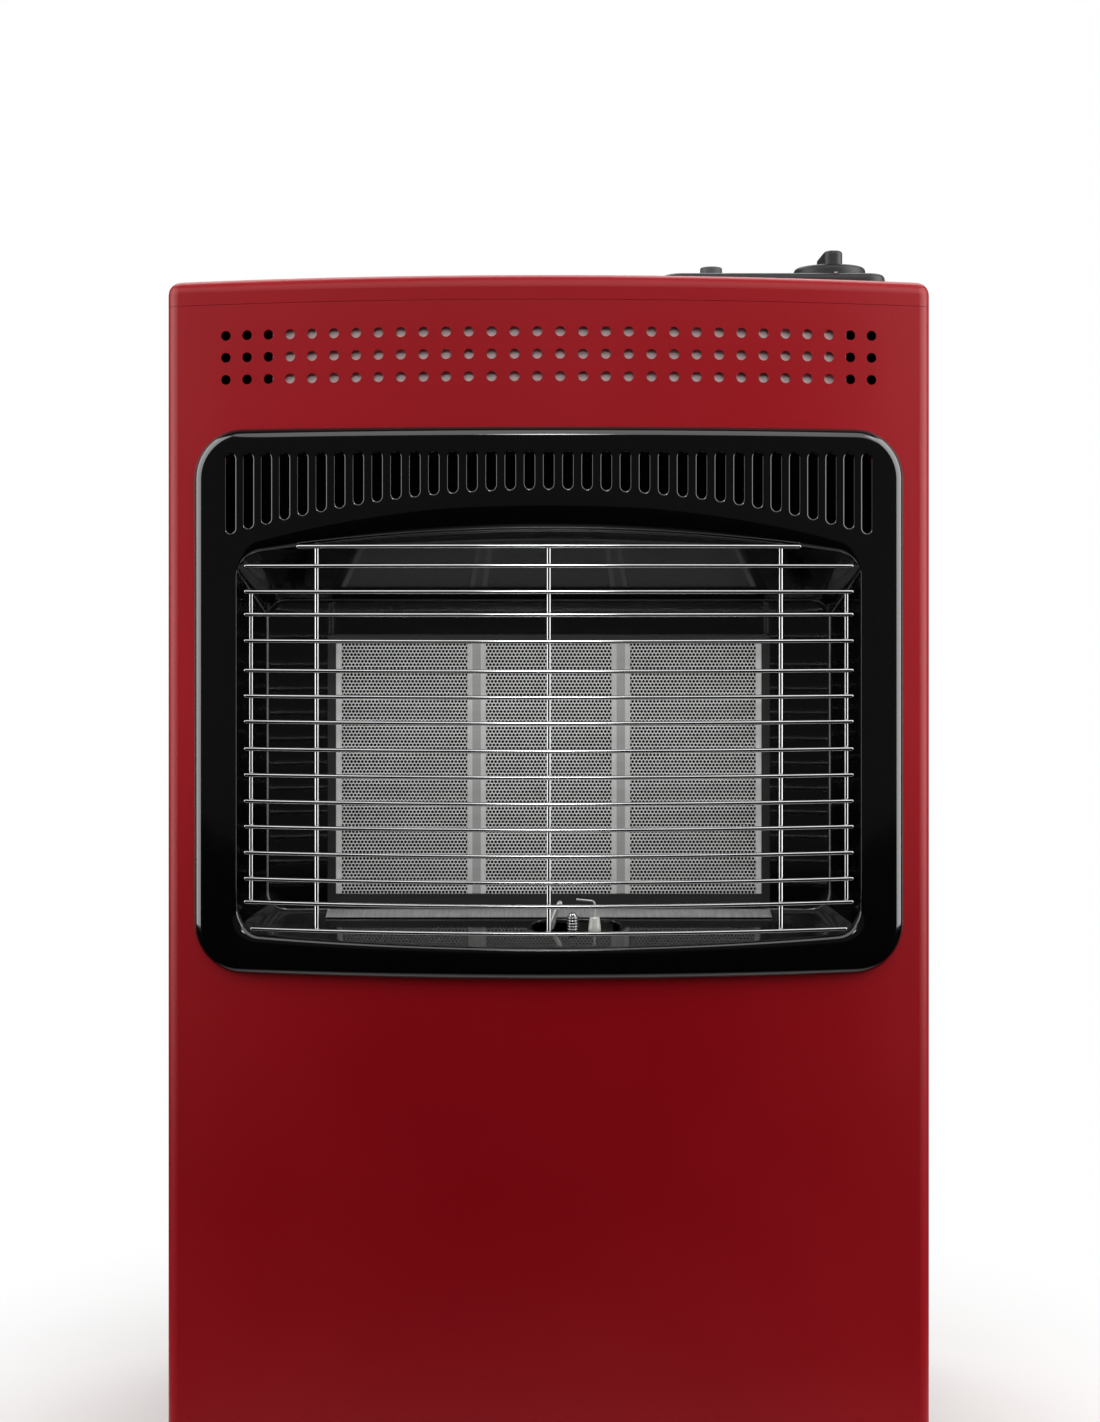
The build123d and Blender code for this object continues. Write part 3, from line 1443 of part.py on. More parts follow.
def main():
    os.makedirs("parts", exist_ok=True)
    write("front_panel", front_panel())
    write("side_panel_left", side_panel(-1))
    write("side_panel_right", side_panel(1))
    write("side_grip_left", side_grip(-1))
    write("side_grip_right", side_grip(1))
    write("top_panel", top_panel())
    write("vent_deflector", vent_deflector())
    write("burner_surround", burner_surround())
    write("surround_nuts", *surround_nuts())
    write("wire_guard", wire_guard())
    for name, number in (("left", 0), ("centre", 1), ("right", 2)):
        write(f"plaque_{name}", plaque(number))
        write(f"gas_pipe_{name}", gas_pipe(number))
    write("plaque_gaskets", *plaque_gaskets())
    write("burner_frame", burner_frame())
    write("burner_box", burner_box())
    write("burner_screws", *burner_screws())
    write("mixing_tubes", *mixing_tubes())
    write("injector_rail", injector_rail())
    write("injectors", *injectors())
    write("pilot_bracket", pilot_bracket())
    write("pilot_burner", pilot_burner())
    write("pilot_pipe", pilot_pipe())
    write("thermocouple", thermocouple())
    write("thermocouple_lead", thermocouple_lead())
    write("electrode_insulator", electrode_insulator())
    write("electrode_wire", electrode_wire())
    write("ignition_lead", ignition_lead())
    write("heat_shield", heat_shield())
    write("gas_valve", gas_valve())
    write("valve_spindle", valve_spindle())
    write("inlet_nozzle", inlet_nozzle())
    write("control_nuts", *control_nuts())
    write("control_bezel", control_bezel())
    write("control_knob", control_knob())
    write("piezo_igniter", piezo_igniter())
    write("piezo_button", piezo_button())
    write("base_tray", base_tray())
    write("hinge_pins", *hinge_pins())
    write("rear_cover", rear_cover())
    write("upper_back_panel", upper_back_panel())
    write("cover_clips", *cover_clips())
    write("body_screws", *body_screws())
    write("castor_plates", *[castor_plate(x, y) for x, y in castor_places().values()])
    write("castor_rivets", *castor_rivets())
    for name, (x, y) in castor_places().items():
        write(f"castor_fork_{name}", castor_fork(x, y))
        write(f"castor_axle_{name}", castor_axle(x, y))
        write(f"castor_wheel_{name}", castor_wheel(x, y))


main()
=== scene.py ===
"""Looks of a portable gas heater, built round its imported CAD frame.

Lengths in this file are millimetres until a mesh is made; the frame is in metres.
"""

import json
import logging
import math
from collections.abc import Iterator
from dataclasses import dataclass, field
from enum import Enum

import bmesh
import bpy
import numpy as np
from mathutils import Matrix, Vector
from mathutils.geometry import delaunay_2d_cdt

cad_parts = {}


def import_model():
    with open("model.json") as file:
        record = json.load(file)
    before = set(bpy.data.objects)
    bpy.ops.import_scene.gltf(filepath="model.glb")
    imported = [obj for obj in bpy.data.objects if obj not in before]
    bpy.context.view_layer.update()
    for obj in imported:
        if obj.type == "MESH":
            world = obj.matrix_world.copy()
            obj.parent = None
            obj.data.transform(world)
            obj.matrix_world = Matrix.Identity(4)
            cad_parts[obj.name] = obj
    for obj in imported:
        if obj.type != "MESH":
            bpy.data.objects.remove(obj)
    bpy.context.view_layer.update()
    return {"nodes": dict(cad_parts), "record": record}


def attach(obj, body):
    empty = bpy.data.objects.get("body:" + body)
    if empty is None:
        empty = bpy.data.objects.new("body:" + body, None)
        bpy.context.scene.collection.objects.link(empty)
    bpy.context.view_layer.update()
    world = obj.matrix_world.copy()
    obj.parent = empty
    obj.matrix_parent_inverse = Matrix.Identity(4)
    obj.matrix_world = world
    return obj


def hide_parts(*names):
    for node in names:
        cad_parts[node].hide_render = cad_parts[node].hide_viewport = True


log = logging.getLogger("gas_heater")

MM = 0.001
# Faces that meet at more than this show a sharp edge between them.
SHARP_ANGLE = math.radians(32.0)
# Points round a turned body: a multiple of six, so that a hexagon's corners are among them.
TURNED_SIDES = 48


def linear(code: str) -> tuple[float, float, float, float]:
    """Turns an sRGB hex value into the linear colour that a shader takes.

    Args:
        code: Six hex digits, such as "8f1923".

    Returns:
        Linear red, green and blue, and an alpha of 1.
    """
    channels = [int(code[i : i + 2], 16) / 255 for i in (0, 2, 4)]
    values = [c / 12.92 if c <= 0.04045 else ((c + 0.055) / 1.055) ** 2.4 for c in channels]
    return (values[0], values[1], values[2], 1.0)


WHITE = linear("ffffff")
# Painted shade on the burner frame's border round the plaques.
FRAME_PAINTED_SHADE = linear("303030")


def add(
    tree: bpy.types.NodeTree, kind: str, feeds: dict | None = None, **settings
) -> bpy.types.Node:
    """Adds one node with its settings, and feeds its sockets.

    Args:
        tree: The node tree that gets the node.
        kind: The node's type name.
        feeds: Socket name or number to an output socket, which is linked, or a plain value.
        **settings: Attributes of the node itself.

    Returns:
        The new node.
    """
    node = tree.nodes.new(kind)
    for name, value in settings.items():
        setattr(node, name, value)
    for key, value in (feeds or {}).items():
        if isinstance(value, bpy.types.NodeSocket):
            tree.links.new(value, node.inputs[key])
        else:
            node.inputs[key].default_value = value
    return node


class Pattern(Enum):
    """How a finish's surface was made, which sets its fine pattern."""

    PEEL = "baked coating with a slight orange peel"
    GRAIN = "spark grain of a mould"
    LINES = "fine lines from rolling, drawing or brushing"
    SPANGLE = "zinc crystals of hot dip galvanising"
    CLAY = "pressed and fired clay"
    FIBRE = "matted fibre"


@dataclass(frozen=True)
class Finish:
    """One material: what it is, its colour, gloss and the pattern that its making leaves.

    Attributes:
        name: The real material.
        colour: Its colour, as an sRGB hex value.
        shade: The second colour that it varies to.
        metallic: 1 for bare metal, less where oxide or dust covers it, and low on sheets that carry
            painted light or shade.
        roughness: Its middle roughness.
        spread: How far the roughness varies to each side.
        pattern: How its surface was made.
        size_mm: Spacing of the pattern. Rolling lines, mould grain and orange peel are finer on
            the real thing, and are drawn as coarse as they need to show.
        relief_mm: Depth of the pattern.
        ior: Index of refraction.
        coat: Weight of a clear layer on top.
        coat_roughness: Roughness of that layer.
        stretch: Scale of the pattern along x, y and z; a small one draws it out.
        mottle_mm: Size of the slow variation.
        bright_box: Half width, low z and high z of the part left bright; outside it lies painted
            shade.
    """

    name: str
    colour: str
    shade: str
    metallic: float
    roughness: float
    spread: float
    pattern: Pattern
    size_mm: float
    relief_mm: float
    ior: float = 1.5
    coat: float = 0.0
    coat_roughness: float = 0.05
    stretch: tuple[float, float, float] = (1.0, 1.0, 1.0)
    mottle_mm: float = 90.0
    bright_box: tuple[float, float, float] | None = None

    def material(self) -> bpy.types.Material:
        """Makes the material once and hands out the same one after that."""
        found = bpy.data.materials.get(self.name)
        return found if found else self._make()

    def _make(self) -> bpy.types.Material:
        """Builds the node tree: pattern and slow mottling drive colour, roughness and bump.

        Returns:
            The new material.
        """
        fine_share, band_low, band_high, smoothest = 0.45, 0.3, 0.7, 0.02
        material = bpy.data.materials.new(self.name)
        material.use_nodes = True
        tree = material.node_tree
        tree.nodes.clear()
        place = add(tree, "ShaderNodeTexCoord").outputs["Object"]
        stretched = add(tree, "ShaderNodeMapping", {"Vector": place, "Scale": self.stretch})
        fine = self._pattern(tree, stretched.outputs["Vector"])
        coarse = {"Vector": place, "Scale": 1000 / self.mottle_mm, "Detail": 2.0}
        slow = add(tree, "ShaderNodeTexNoise", coarse).outputs["Fac"]
        both = add(tree, "ShaderNodeMix", {0: fine_share, 2: slow, 3: fine}, data_type="FLOAT")
        band = {"Value": both.outputs[0], "From Min": band_low, "From Max": band_high}
        tint = add(tree, "ShaderNodeMapRange", band).outputs["Result"]
        colours = {0: tint, 6: linear(self.colour), 7: linear(self.shade)}
        tone = add(tree, "ShaderNodeMix", colours, data_type="RGBA").outputs[2]
        # Outside the bright box the colour turns to painted shade.
        if self.bright_box:
            tone = self._heat_tint(tree, place, tone)
        band["To Min"] = max(self.roughness - self.spread, smoothest)
        band["To Max"] = self.roughness + self.spread
        rough = add(tree, "ShaderNodeMapRange", band)
        relief = {"Height": fine, "Distance": self.relief_mm * MM, "Strength": 1.0}
        bump = add(tree, "ShaderNodeBump", relief)
        shader = add(
            tree,
            "ShaderNodeBsdfPrincipled",
            {
                "Base Color": tone,
                "Roughness": rough.outputs["Result"],
                "Normal": bump.outputs["Normal"],
                "Metallic": self.metallic,
                "IOR": self.ior,
                "Coat Weight": self.coat,
                "Coat Roughness": self.coat_roughness,
            },
        )
        add(tree, "ShaderNodeOutputMaterial", {"Surface": shader.outputs["BSDF"]})
        return material

    def _heat_tint(
        self, tree: bpy.types.NodeTree, place: bpy.types.NodeSocket, colour: bpy.types.NodeSocket
    ) -> bpy.types.NodeSocket:
        """Darkens the metal outside an upright box about x = 0 with painted shade.

        Args:
            tree: The material's node tree.
            place: Object coordinates.
            colour: The colour inside the box.

        Returns:
            A socket with the colour all over.
        """
        half, low, high = (value * MM for value in self.bright_box)
        parts = add(tree, "ShaderNodeSeparateXYZ", {"Vector": place}).outputs
        middle = (low + high) / 2
        beside = add(tree, "ShaderNodeMath", {0: parts["X"]}, operation="ABSOLUTE")
        above = add(tree, "ShaderNodeMath", {0: parts["Z"], 1: middle}, operation="SUBTRACT")
        height = add(tree, "ShaderNodeMath", {0: above.outputs[0]}, operation="ABSOLUTE")
        wide = {0: beside.outputs[0], 1: half}
        tall = {0: height.outputs[0], 1: high - middle}
        out_x = add(tree, "ShaderNodeMath", wide, operation="GREATER_THAN").outputs[0]
        out_z = add(tree, "ShaderNodeMath", tall, operation="GREATER_THAN").outputs[0]
        outside = add(tree, "ShaderNodeMath", {0: out_x, 1: out_z}, operation="MAXIMUM")
        tones = {0: outside.outputs[0], 6: colour, 7: FRAME_PAINTED_SHADE}
        return add(tree, "ShaderNodeMix", tones, data_type="RGBA").outputs[2]

    def _pattern(
        self, tree: bpy.types.NodeTree, place: bpy.types.NodeSocket
    ) -> bpy.types.NodeSocket:
        """Adds the texture that stands for the surface's fine pattern.

        Args:
            tree: The material's node tree.
            place: Stretched Object coordinates.

        Returns:
            A socket with the pattern, from 0 to 1.
        """
        scale = 1000 / self.size_mm
        if self.pattern is Pattern.SPANGLE:
            cells = add(tree, "ShaderNodeTexVoronoi", {"Vector": place, "Scale": scale})
            channels = add(tree, "ShaderNodeSeparateColor", {"Color": cells.outputs["Color"]})
            return channels.outputs["Red"]
        if self.pattern is Pattern.GRAIN:
            cells = add(tree, "ShaderNodeTexVoronoi", {"Vector": place, "Scale": scale})
            return cells.outputs["Distance"]
        details = {Pattern.PEEL: 1.0, Pattern.LINES: 3.0, Pattern.CLAY: 4.0, Pattern.FIBRE: 5.0}
        feeds = {"Vector": place, "Scale": scale, "Detail": details[self.pattern]}
        return add(tree, "ShaderNodeTexNoise", feeds).outputs["Fac"]


# Polyester powder coat, sprayed and baked on steel: a satin red with a faint orange peel.
RED_COAT = Finish(
    "powder_coat_red", "950512", "9c0715", 0.0, 0.38, 0.03, Pattern.PEEL, 0.9, 0.010, ior=1.38
)
# The same kind of coat in black, as on the base and the rear.
BLACK_COAT = Finish(
    "powder_coat_black", "141415", "1b1b1c", 0.0, 0.48, 0.04, Pattern.PEEL, 0.8, 0.014
)
# Vitreous enamel, fired glass on steel: deep black and glossy, slightly wavy.
ENAMEL = Finish(
    "vitreous_enamel_black", "050506", "070708", 0.0, 0.10, 0.02, Pattern.PEEL, 5.0, 0.012, coat=0.6
)
# Bright nickel plate, on the guard's drawn wire and on the turned pilot burner.
PLATED = Finish("nickel_plate", "cacaca", "bdbdbd", 1.0, 0.05, 0.005, Pattern.LINES, 4.0, 0.0002)
# Hot dip galvanised sheet: pale grey with large soft crystals.
GALVANISED = Finish(
    "galvanised_sheet", "b4b6b8", "9c9fa2", 0.75, 0.42, 0.08, Pattern.SPANGLE, 7.0, 0.002
)
# Galvanised sheet behind the burner, painted dark: painted shade for the dark inside that the slots
# show.
ZINC_PAINTED_SHADE = Finish("zinc_painted_shade", "2b2b2c", "232324", 0.3, 0.6, 0.08, Pattern.SPANGLE, 7.0, 0.002)
# Ferritic stainless sheet that has been hot: mid grey with rolling lines.
BURNER_STEEL = Finish(
    "stainless_sheet", "8c8b89", "777674", 1.0, 0.36, 0.06, Pattern.LINES, 0.6, 0.002,
    stretch=(0.06, 1.0, 1.0),
)
# The burner's frame: the same sheet, bright between the plaques, with painted shade round them.
FRAME_STEEL = Finish(
    "stainless_sheet_painted_shade", "c4c4c3", "b2b2b1", 0.25, 0.5, 0.06, Pattern.LINES, 0.6, 0.002,
    stretch=(0.06, 1.0, 1.0), bright_box=(117.0, 377.8, 517.6),
)
# The frame's lip on the floor: pale and nearly matt, painted light in the recess's shade; brushed
# front to back.
LIP_STEEL = Finish(
    "stainless_sheet_lip_painted_light", "cfcfce", "989897", 0.2, 0.42, 0.08, Pattern.LINES, 1.6, 0.01,
    stretch=(1.0, 0.1, 0.1),
)
# Galvanised sheet of the deflector: pinkish near white and not metallic, as painted light with the
# red panel's bounce behind the vent holes.
DEFLECTOR_ZINC = Finish(
    "galvanised_sheet_painted_light", "f8eceb", "f0e2e1", 0.0, 0.6, 0.05, Pattern.SPANGLE, 6.0, 0.002
)
# Cordierite, pressed and fired: pale warm grey, dry and matt.
CORDIERITE = Finish(
    "cordierite_ceramic", "efefed", "e4e3e1", 0.0, 0.85, 0.06, Pattern.CLAY, 0.7, 0.03, mottle_mm=25
)
# Painted shade on the walls and floor of the burner's fine channels, where no light comes back.
CHANNEL = Finish("cordierite_channel_painted_shade", "090808", "060505", 0.0, 0.95, 0.02, Pattern.CLAY, 0.5, 0.01)
# Ceramic fibre paper.
FIBRE_PAPER = Finish("ceramic_fibre", "e2dfd6", "d0ccc0", 0.0, 0.95, 0.03, Pattern.FIBRE, 1.2, 0.08)
# Turned brass, slightly dulled.
BRASS = Finish(
    "turned_brass", "c9a45c", "b58f48", 1.0, 0.26, 0.06, Pattern.LINES, 0.4, 0.003,
    stretch=(1.0, 1.0, 0.1),
)
# Drawn copper capillary.
COPPER = Finish("drawn_copper", "c27a52", "a9633f", 1.0, 0.30, 0.07, Pattern.LINES, 0.8, 0.002)
# Drawn aluminium tube.
ALUMINIUM = Finish(
    "drawn_aluminium", "c3c5c7", "afb2b5", 1.0, 0.33, 0.06, Pattern.LINES, 0.7, 0.002
)
# ABS, moulded black with spark grain.
BLACK_ABS = Finish(
    "moulded_abs_black", "1a1a1b", "202022", 0.0, 0.46, 0.05, Pattern.GRAIN, 0.7, 0.03, ior=1.53
)
# Polypropylene, moulded grey.
GREY_PP = Finish(
    "moulded_pp_grey", "4b4c4e", "565759", 0.0, 0.5, 0.05, Pattern.GRAIN, 0.9, 0.02, ior=1.49
)
# Steatite with a clear glaze.
STEATITE = Finish(
    "glazed_steatite", "ecebe6", "e2e0d9", 0.0, 0.16, 0.03, Pattern.PEEL, 1.5, 0.006,
    ior=1.55, coat=0.5,
)
# Silicone rubber lead, extruded.
SILICONE = Finish(
    "silicone_rubber_red", "6d1613", "7c1e19", 0.0, 0.55, 0.05, Pattern.GRAIN, 0.6, 0.01, ior=1.41
)
# Zinc plated steel, passivated, with a faint warm cast.
ZINC = Finish("zinc_plate", "bdbab0", "a9a69a", 1.0, 0.31, 0.07, Pattern.LINES, 0.9, 0.003)
# White ink, pad printed on the bezel.
PRINT_WHITE = Finish(
    "pad_print_white", "d9d9d6", "cfcfcb", 0.0, 0.5, 0.05, Pattern.PEEL, 0.4, 0.004
)
# Seamless paper under the heater.
FLOOR = Finish(
    "studio_paper", "f0f0ef", "ececeb", 0.0, 0.8, 0.04, Pattern.FIBRE, 3.0, 0.02, mottle_mm=600
)

# The record's material slots and the finish that each one shows.
SLOT_FINISHES: dict[str, Finish] = {
    "red_powder_coat": RED_COAT,
    "black_enamel": ENAMEL,
    "black_powder_coat": BLACK_COAT,
    "plated_wire": PLATED,
    "galvanised_sheet": GALVANISED,
    "burner_steel": BURNER_STEEL,
    "plaque_ceramic": CORDIERITE,
    "fibre_gasket": FIBRE_PAPER,
    "brass": BRASS,
    "copper": COPPER,
    "aluminium_pipe": ALUMINIUM,
    "black_moulding": BLACK_ABS,
    "grey_moulding": GREY_PP,
    "white_glaze": STEATITE,
    "lead_rubber": SILICONE,
    "zinc_plate": ZINC,
}

# Nodes whose finish differs from that of their slot.
NODE_FINISHES: dict[str, Finish] = {
    "heat_shield": ZINC_PAINTED_SHADE,
    "burner_frame": FRAME_STEEL,
    "vent_deflector": DEFLECTOR_ZINC,
}


@dataclass
class Shell:
    """Points and faces of one piece, gathered from grids, in millimetres."""

    points: list[np.ndarray] = field(default_factory=list)
    faces: list[list[int]] = field(default_factory=list)
    marks: list[int] = field(default_factory=list)
    count: int = 0

    def put(self, points: np.ndarray) -> np.ndarray:
        """Stores points.

        Args:
            points: Points in any layout, with x, y and z along the last axis.

        Returns:
            Their numbers, in the same layout.
        """
        flat = np.asarray(points, float).reshape(-1, 3)
        numbers = np.arange(self.count, self.count + len(flat)).reshape(np.shape(points)[:-1])
        self.points.append(flat)
        self.count += len(flat)
        return numbers

    def join(self, faces: np.ndarray, mark: int = 0) -> None:
        """Stores faces under a material mark.

        Args:
            faces: Point numbers, with one face along the last axis.
            mark: Which of the piece's finishes the faces take.
        """
        rows = faces.reshape(-1, faces.shape[-1]).tolist()
        self.faces += rows
        self.marks += [mark] * len(rows)

    def grid(
        self,
        points: np.ndarray,
        rows: bool = False,
        columns: bool = False,
        keep: np.ndarray | None = None,
    ) -> np.ndarray:
        """Stores a grid of points and joins them by quads.

        Args:
            points: Points, rows by columns by 3.
            rows: Whether the last row joins the first.
            columns: Whether the last column joins the first.
            keep: Which quads are made, where not all are.

        Returns:
            The points' numbers.
        """
        numbers = self.put(points)
        lines = np.concatenate([numbers, numbers[:1]]) if rows else numbers
        cells = np.concatenate([lines, lines[:, :1]], axis=1) if columns else lines
        quads = np.stack([cells[:-1, :-1], cells[:-1, 1:], cells[1:, 1:], cells[1:, :-1]], axis=-1)
        self.join(quads if keep is None else quads[keep])
        return numbers

    def piece(
        self, name: str, body: str, slot: str, finishes: list[Finish], merge: float = 0.002
    ) -> bpy.types.Object:
        """Makes the object: welded, faces outwards, smooth but for its sharp edges, on its body.

        Args:
            name: The object's name.
            body: The CAD body it moves with.
            slot: The record's material slot; not used.
            finishes: The finish of each material mark.
            merge: Points nearer than this many millimetres become one.

        Returns:
            The object, linked to the scene.
        """
        mesh = bpy.data.meshes.new(name)
        mesh.from_pydata((np.concatenate(self.points) * MM).tolist(), [], self.faces)
        mesh.polygons.foreach_set("material_index", self.marks)
        work = bmesh.new()
        work.from_mesh(mesh)
        bmesh.ops.remove_doubles(work, verts=work.verts, dist=merge * MM)
        bmesh.ops.recalc_face_normals(work, faces=work.faces)
        work.to_mesh(mesh)
        work.free()
        for finish in finishes:
            mesh.materials.append(finish.material())
        made = bpy.data.objects.new(name, mesh)
        bpy.context.scene.collection.objects.link(made)
        mesh.shade_smooth()
        mesh.set_sharp_from_angle(angle=SHARP_ANGLE)
        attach(made, body)
        return made


def tube(line: np.ndarray, radius: float, sides: int = 20, dome_rings: int = 4) -> np.ndarray:
    """Rings of points round a line, closed by low domes.

    Each ring is the circle of the given radius in the plane square to the line. Over a dome
    the circle shrinks as the cosine of an angle while it moves on by the sine, times the
    dome's height. One ring close inside each end keeps the dome's shading off the tube.

    Args:
        line: Points of the line, (n, 3), in millimetres.
        radius: Radius of the tube.
        sides: Points round a ring.
        dome_rings: Steps in each dome.

    Returns:
        A grid of points, rings by sides by 3.
    """
    dome_height, inset, steep = 0.6 * radius, 0.3, 0.7
    tangent = np.gradient(line, axis=0)
    tangent /= np.linalg.norm(tangent, axis=1, keepdims=True)
    inner = [line[:1] + inset * tangent[:1], line[1:-1], line[-1:] - inset * tangent[-1:]]
    line = np.concatenate([line[:1], *inner, line[-1:]])
    tangent = np.concatenate([tangent[:1], tangent[:1], tangent[1:-1], tangent[-1:], tangent[-1:]])
    swing = np.linspace(math.pi / 2, 0, dome_rings + 1)
    rise = dome_height * np.sin(swing)[:, None]
    first, last = line[0] - tangent[0] * rise, line[-1] + tangent[-1] * rise[::-1]
    middle = np.concatenate([first, line[1:-1], last])
    width = np.concatenate([np.cos(swing), np.ones(len(line) - 2), np.cos(swing[::-1])]) * radius
    starts, ends = (np.repeat(end, dome_rings + 1, 0) for end in (tangent[:1], tangent[-1:]))
    along = np.concatenate([starts, tangent[1:-1], ends])
    helper = np.array([1.0, 0.0, 0.0] if abs(tangent[0, 2]) >= steep else [0.0, 0.0, 1.0])
    across = np.cross(along, helper)
    across /= np.linalg.norm(across, axis=1, keepdims=True)
    up = np.cross(across, along)
    turn = np.linspace(0, 2 * math.pi, sides, endpoint=False)[None, :, None]
    ring = np.cos(turn) * across[:, None] + np.sin(turn) * up[:, None]
    return middle[:, None] + ring * width[:, None, None]


def lathe(
    radius: np.ndarray, height: np.ndarray, base: tuple, along: tuple = (0.0, 0.0, 1.0)
) -> np.ndarray:
    """Rings of points round an axis, for one turned body.

    Each point is base + height * along + radius * (cos(turn) * side + sin(turn) * y), where
    side is square to y and the axis.

    Args:
        radius: Radius of each ring, (n, 1), or of each of its points, (n, TURNED_SIDES).
        height: Each ring's distance along the axis, (n,).
        base: Where the axis starts, in millimetres.
        along: The axis, of length 1 and square to y.

    Returns:
        A grid of points, rings by TURNED_SIDES by 3.
    """
    turn = np.linspace(0, 2 * math.pi, TURNED_SIDES, endpoint=False)[:, None]
    depth = np.array([0.0, 1.0, 0.0])
    ring = np.cos(turn) * np.cross(depth, along) + np.sin(turn) * depth
    return np.array(base) + height[:, None, None] * np.array(along) + radius[..., None] * ring


@dataclass(frozen=True)
class Bow:
    """The upright cylinder that the whole front follows."""

    radius: float = 756.0
    nose_y: float = -204.0

    @property
    def axis_y(self) -> float:
        """Y of the cylinder's axis."""
        return self.nose_y + self.radius

    def y(self, proud: float, x: np.ndarray) -> np.ndarray:
        """Y at x of a surface that stands proud of the front: the axis less the chord's height."""
        return self.axis_y - np.sqrt((self.radius + proud) ** 2 - np.asarray(x, float) ** 2)

    def x(self, proud: float, along: np.ndarray) -> np.ndarray:
        """X of a place that lies a distance along the surface from the middle."""
        return (self.radius + proud) * np.sin(np.asarray(along, float) / (self.radius + proud))


BOW = Bow()


def ease(first: np.ndarray, corner: np.ndarray, last: np.ndarray, steps: int) -> np.ndarray:
    """Rounds a corner: the quadratic Bezier curve from first to last, drawn to the corner.

    Args:
        first: Points where the rounding starts, (n, 3).
        corner: Where the two surfaces would meet, (n, 3).
        last: Points where it ends, (n, 3).
        steps: Rings from first to last, both included.

    Returns:
        Rings of points, steps by n by 3.
    """
    t = np.linspace(0, 1, steps)[:, None, None]
    return (1 - t) ** 2 * first + 2 * t * (1 - t) * corner + t**2 * last


def quarter_round(inset: float, drop: float, steps: int) -> Iterator[tuple[float, float]]:
    """Goes along a quarter of an ellipse, from the full inset on the face down to the full drop.

    The inset that is left is inset * (1 - sin) and the drop so far is drop * (1 - cos).

    Args:
        inset: How far from the edge the round starts.
        drop: How far below the face it ends.
        steps: Number of pairs.

    Returns:
        Pairs of inset and drop.
    """
    turn = np.linspace(0, math.pi / 2, steps)
    return zip(inset * (1 - np.sin(turn)), drop * (1 - np.cos(turn)))


def round_loop(size: tuple[float, float, float, float], grow: float = 0.0) -> np.ndarray:
    """A rounded rectangle about x = 0, with as many points on each side and corner for any size.

    Args:
        size: Half its width, z of its lower side, z of its upper side, radius of its corners.
        grow: How far all of it is grown outwards.

    Returns:
        Points (x, z) in order round the loop, (n, 2), from the lower left corner's end.
    """
    across, up, corner_points = 84, 44, 12
    half, low, high, corner = size[0] + grow, size[1] - grow, size[2] + grow, size[3] + grow
    right, top, bottom = half - corner, high - corner, low + corner
    turn = np.linspace(0, math.pi / 2, corner_points + 2)[1:-1]
    arc = np.stack([np.sin(turn), -np.cos(turn)], 1) * corner
    level = np.linspace(-right, right, across)
    rise = np.linspace(bottom, top, up)
    quarter = np.array([[0.0, -1.0], [1.0, 0.0]])
    parts = [np.stack([level, np.full(across, low)], 1), arc + [right, bottom]]
    parts += [np.stack([np.full(up, half), rise], 1), arc @ quarter.T + [right, top]]
    parts += [np.stack([level[::-1], np.full(across, high)], 1), -arc + [-right, top]]
    parts += [np.stack([np.full(up, -half), rise[::-1]], 1), -(arc @ quarter.T) + [-right, bottom]]
    return np.concatenate(parts)


def fill_between(
    loops: list[np.ndarray], spacing: float, clear: float
) -> tuple[np.ndarray, np.ndarray]:
    """Triangles between an outer loop and the holes in it, with a grid of points inside.

    Args:
        loops: The outer loop and then the holes, each (n, 2).
        spacing: Pitch of the inner grid.
        clear: No grid point is nearer than this to a loop's point.

    Returns:
        The points (n, 2), loops first and in order, and the triangles (m, 3).
    """
    inside_without_holes, weld = 2, 1e-5
    edge = np.concatenate(loops)
    low, high = edge.min(0), edge.max(0)
    lines = (np.arange(low[i], high[i], spacing) for i in (0, 1))
    grid = np.stack(np.meshgrid(*lines), -1).reshape(-1, 2)
    far = np.linalg.norm(grid[:, None] - edge[None], axis=-1).min(1) > clear
    points = [Vector(spot) for spot in np.concatenate([edge, grid[far]]).tolist()]
    starts = np.cumsum([0] + [len(loop) for loop in loops])
    rings = [list(range(a, b)) for a, b in zip(starts, starts[1:])]
    found = delaunay_2d_cdt(points, [], rings, inside_without_holes, weld)
    triangles = [face for face in found[2] if len(face) == 3]
    return np.array([tuple(spot) for spot in found[0]]), np.array(triangles)


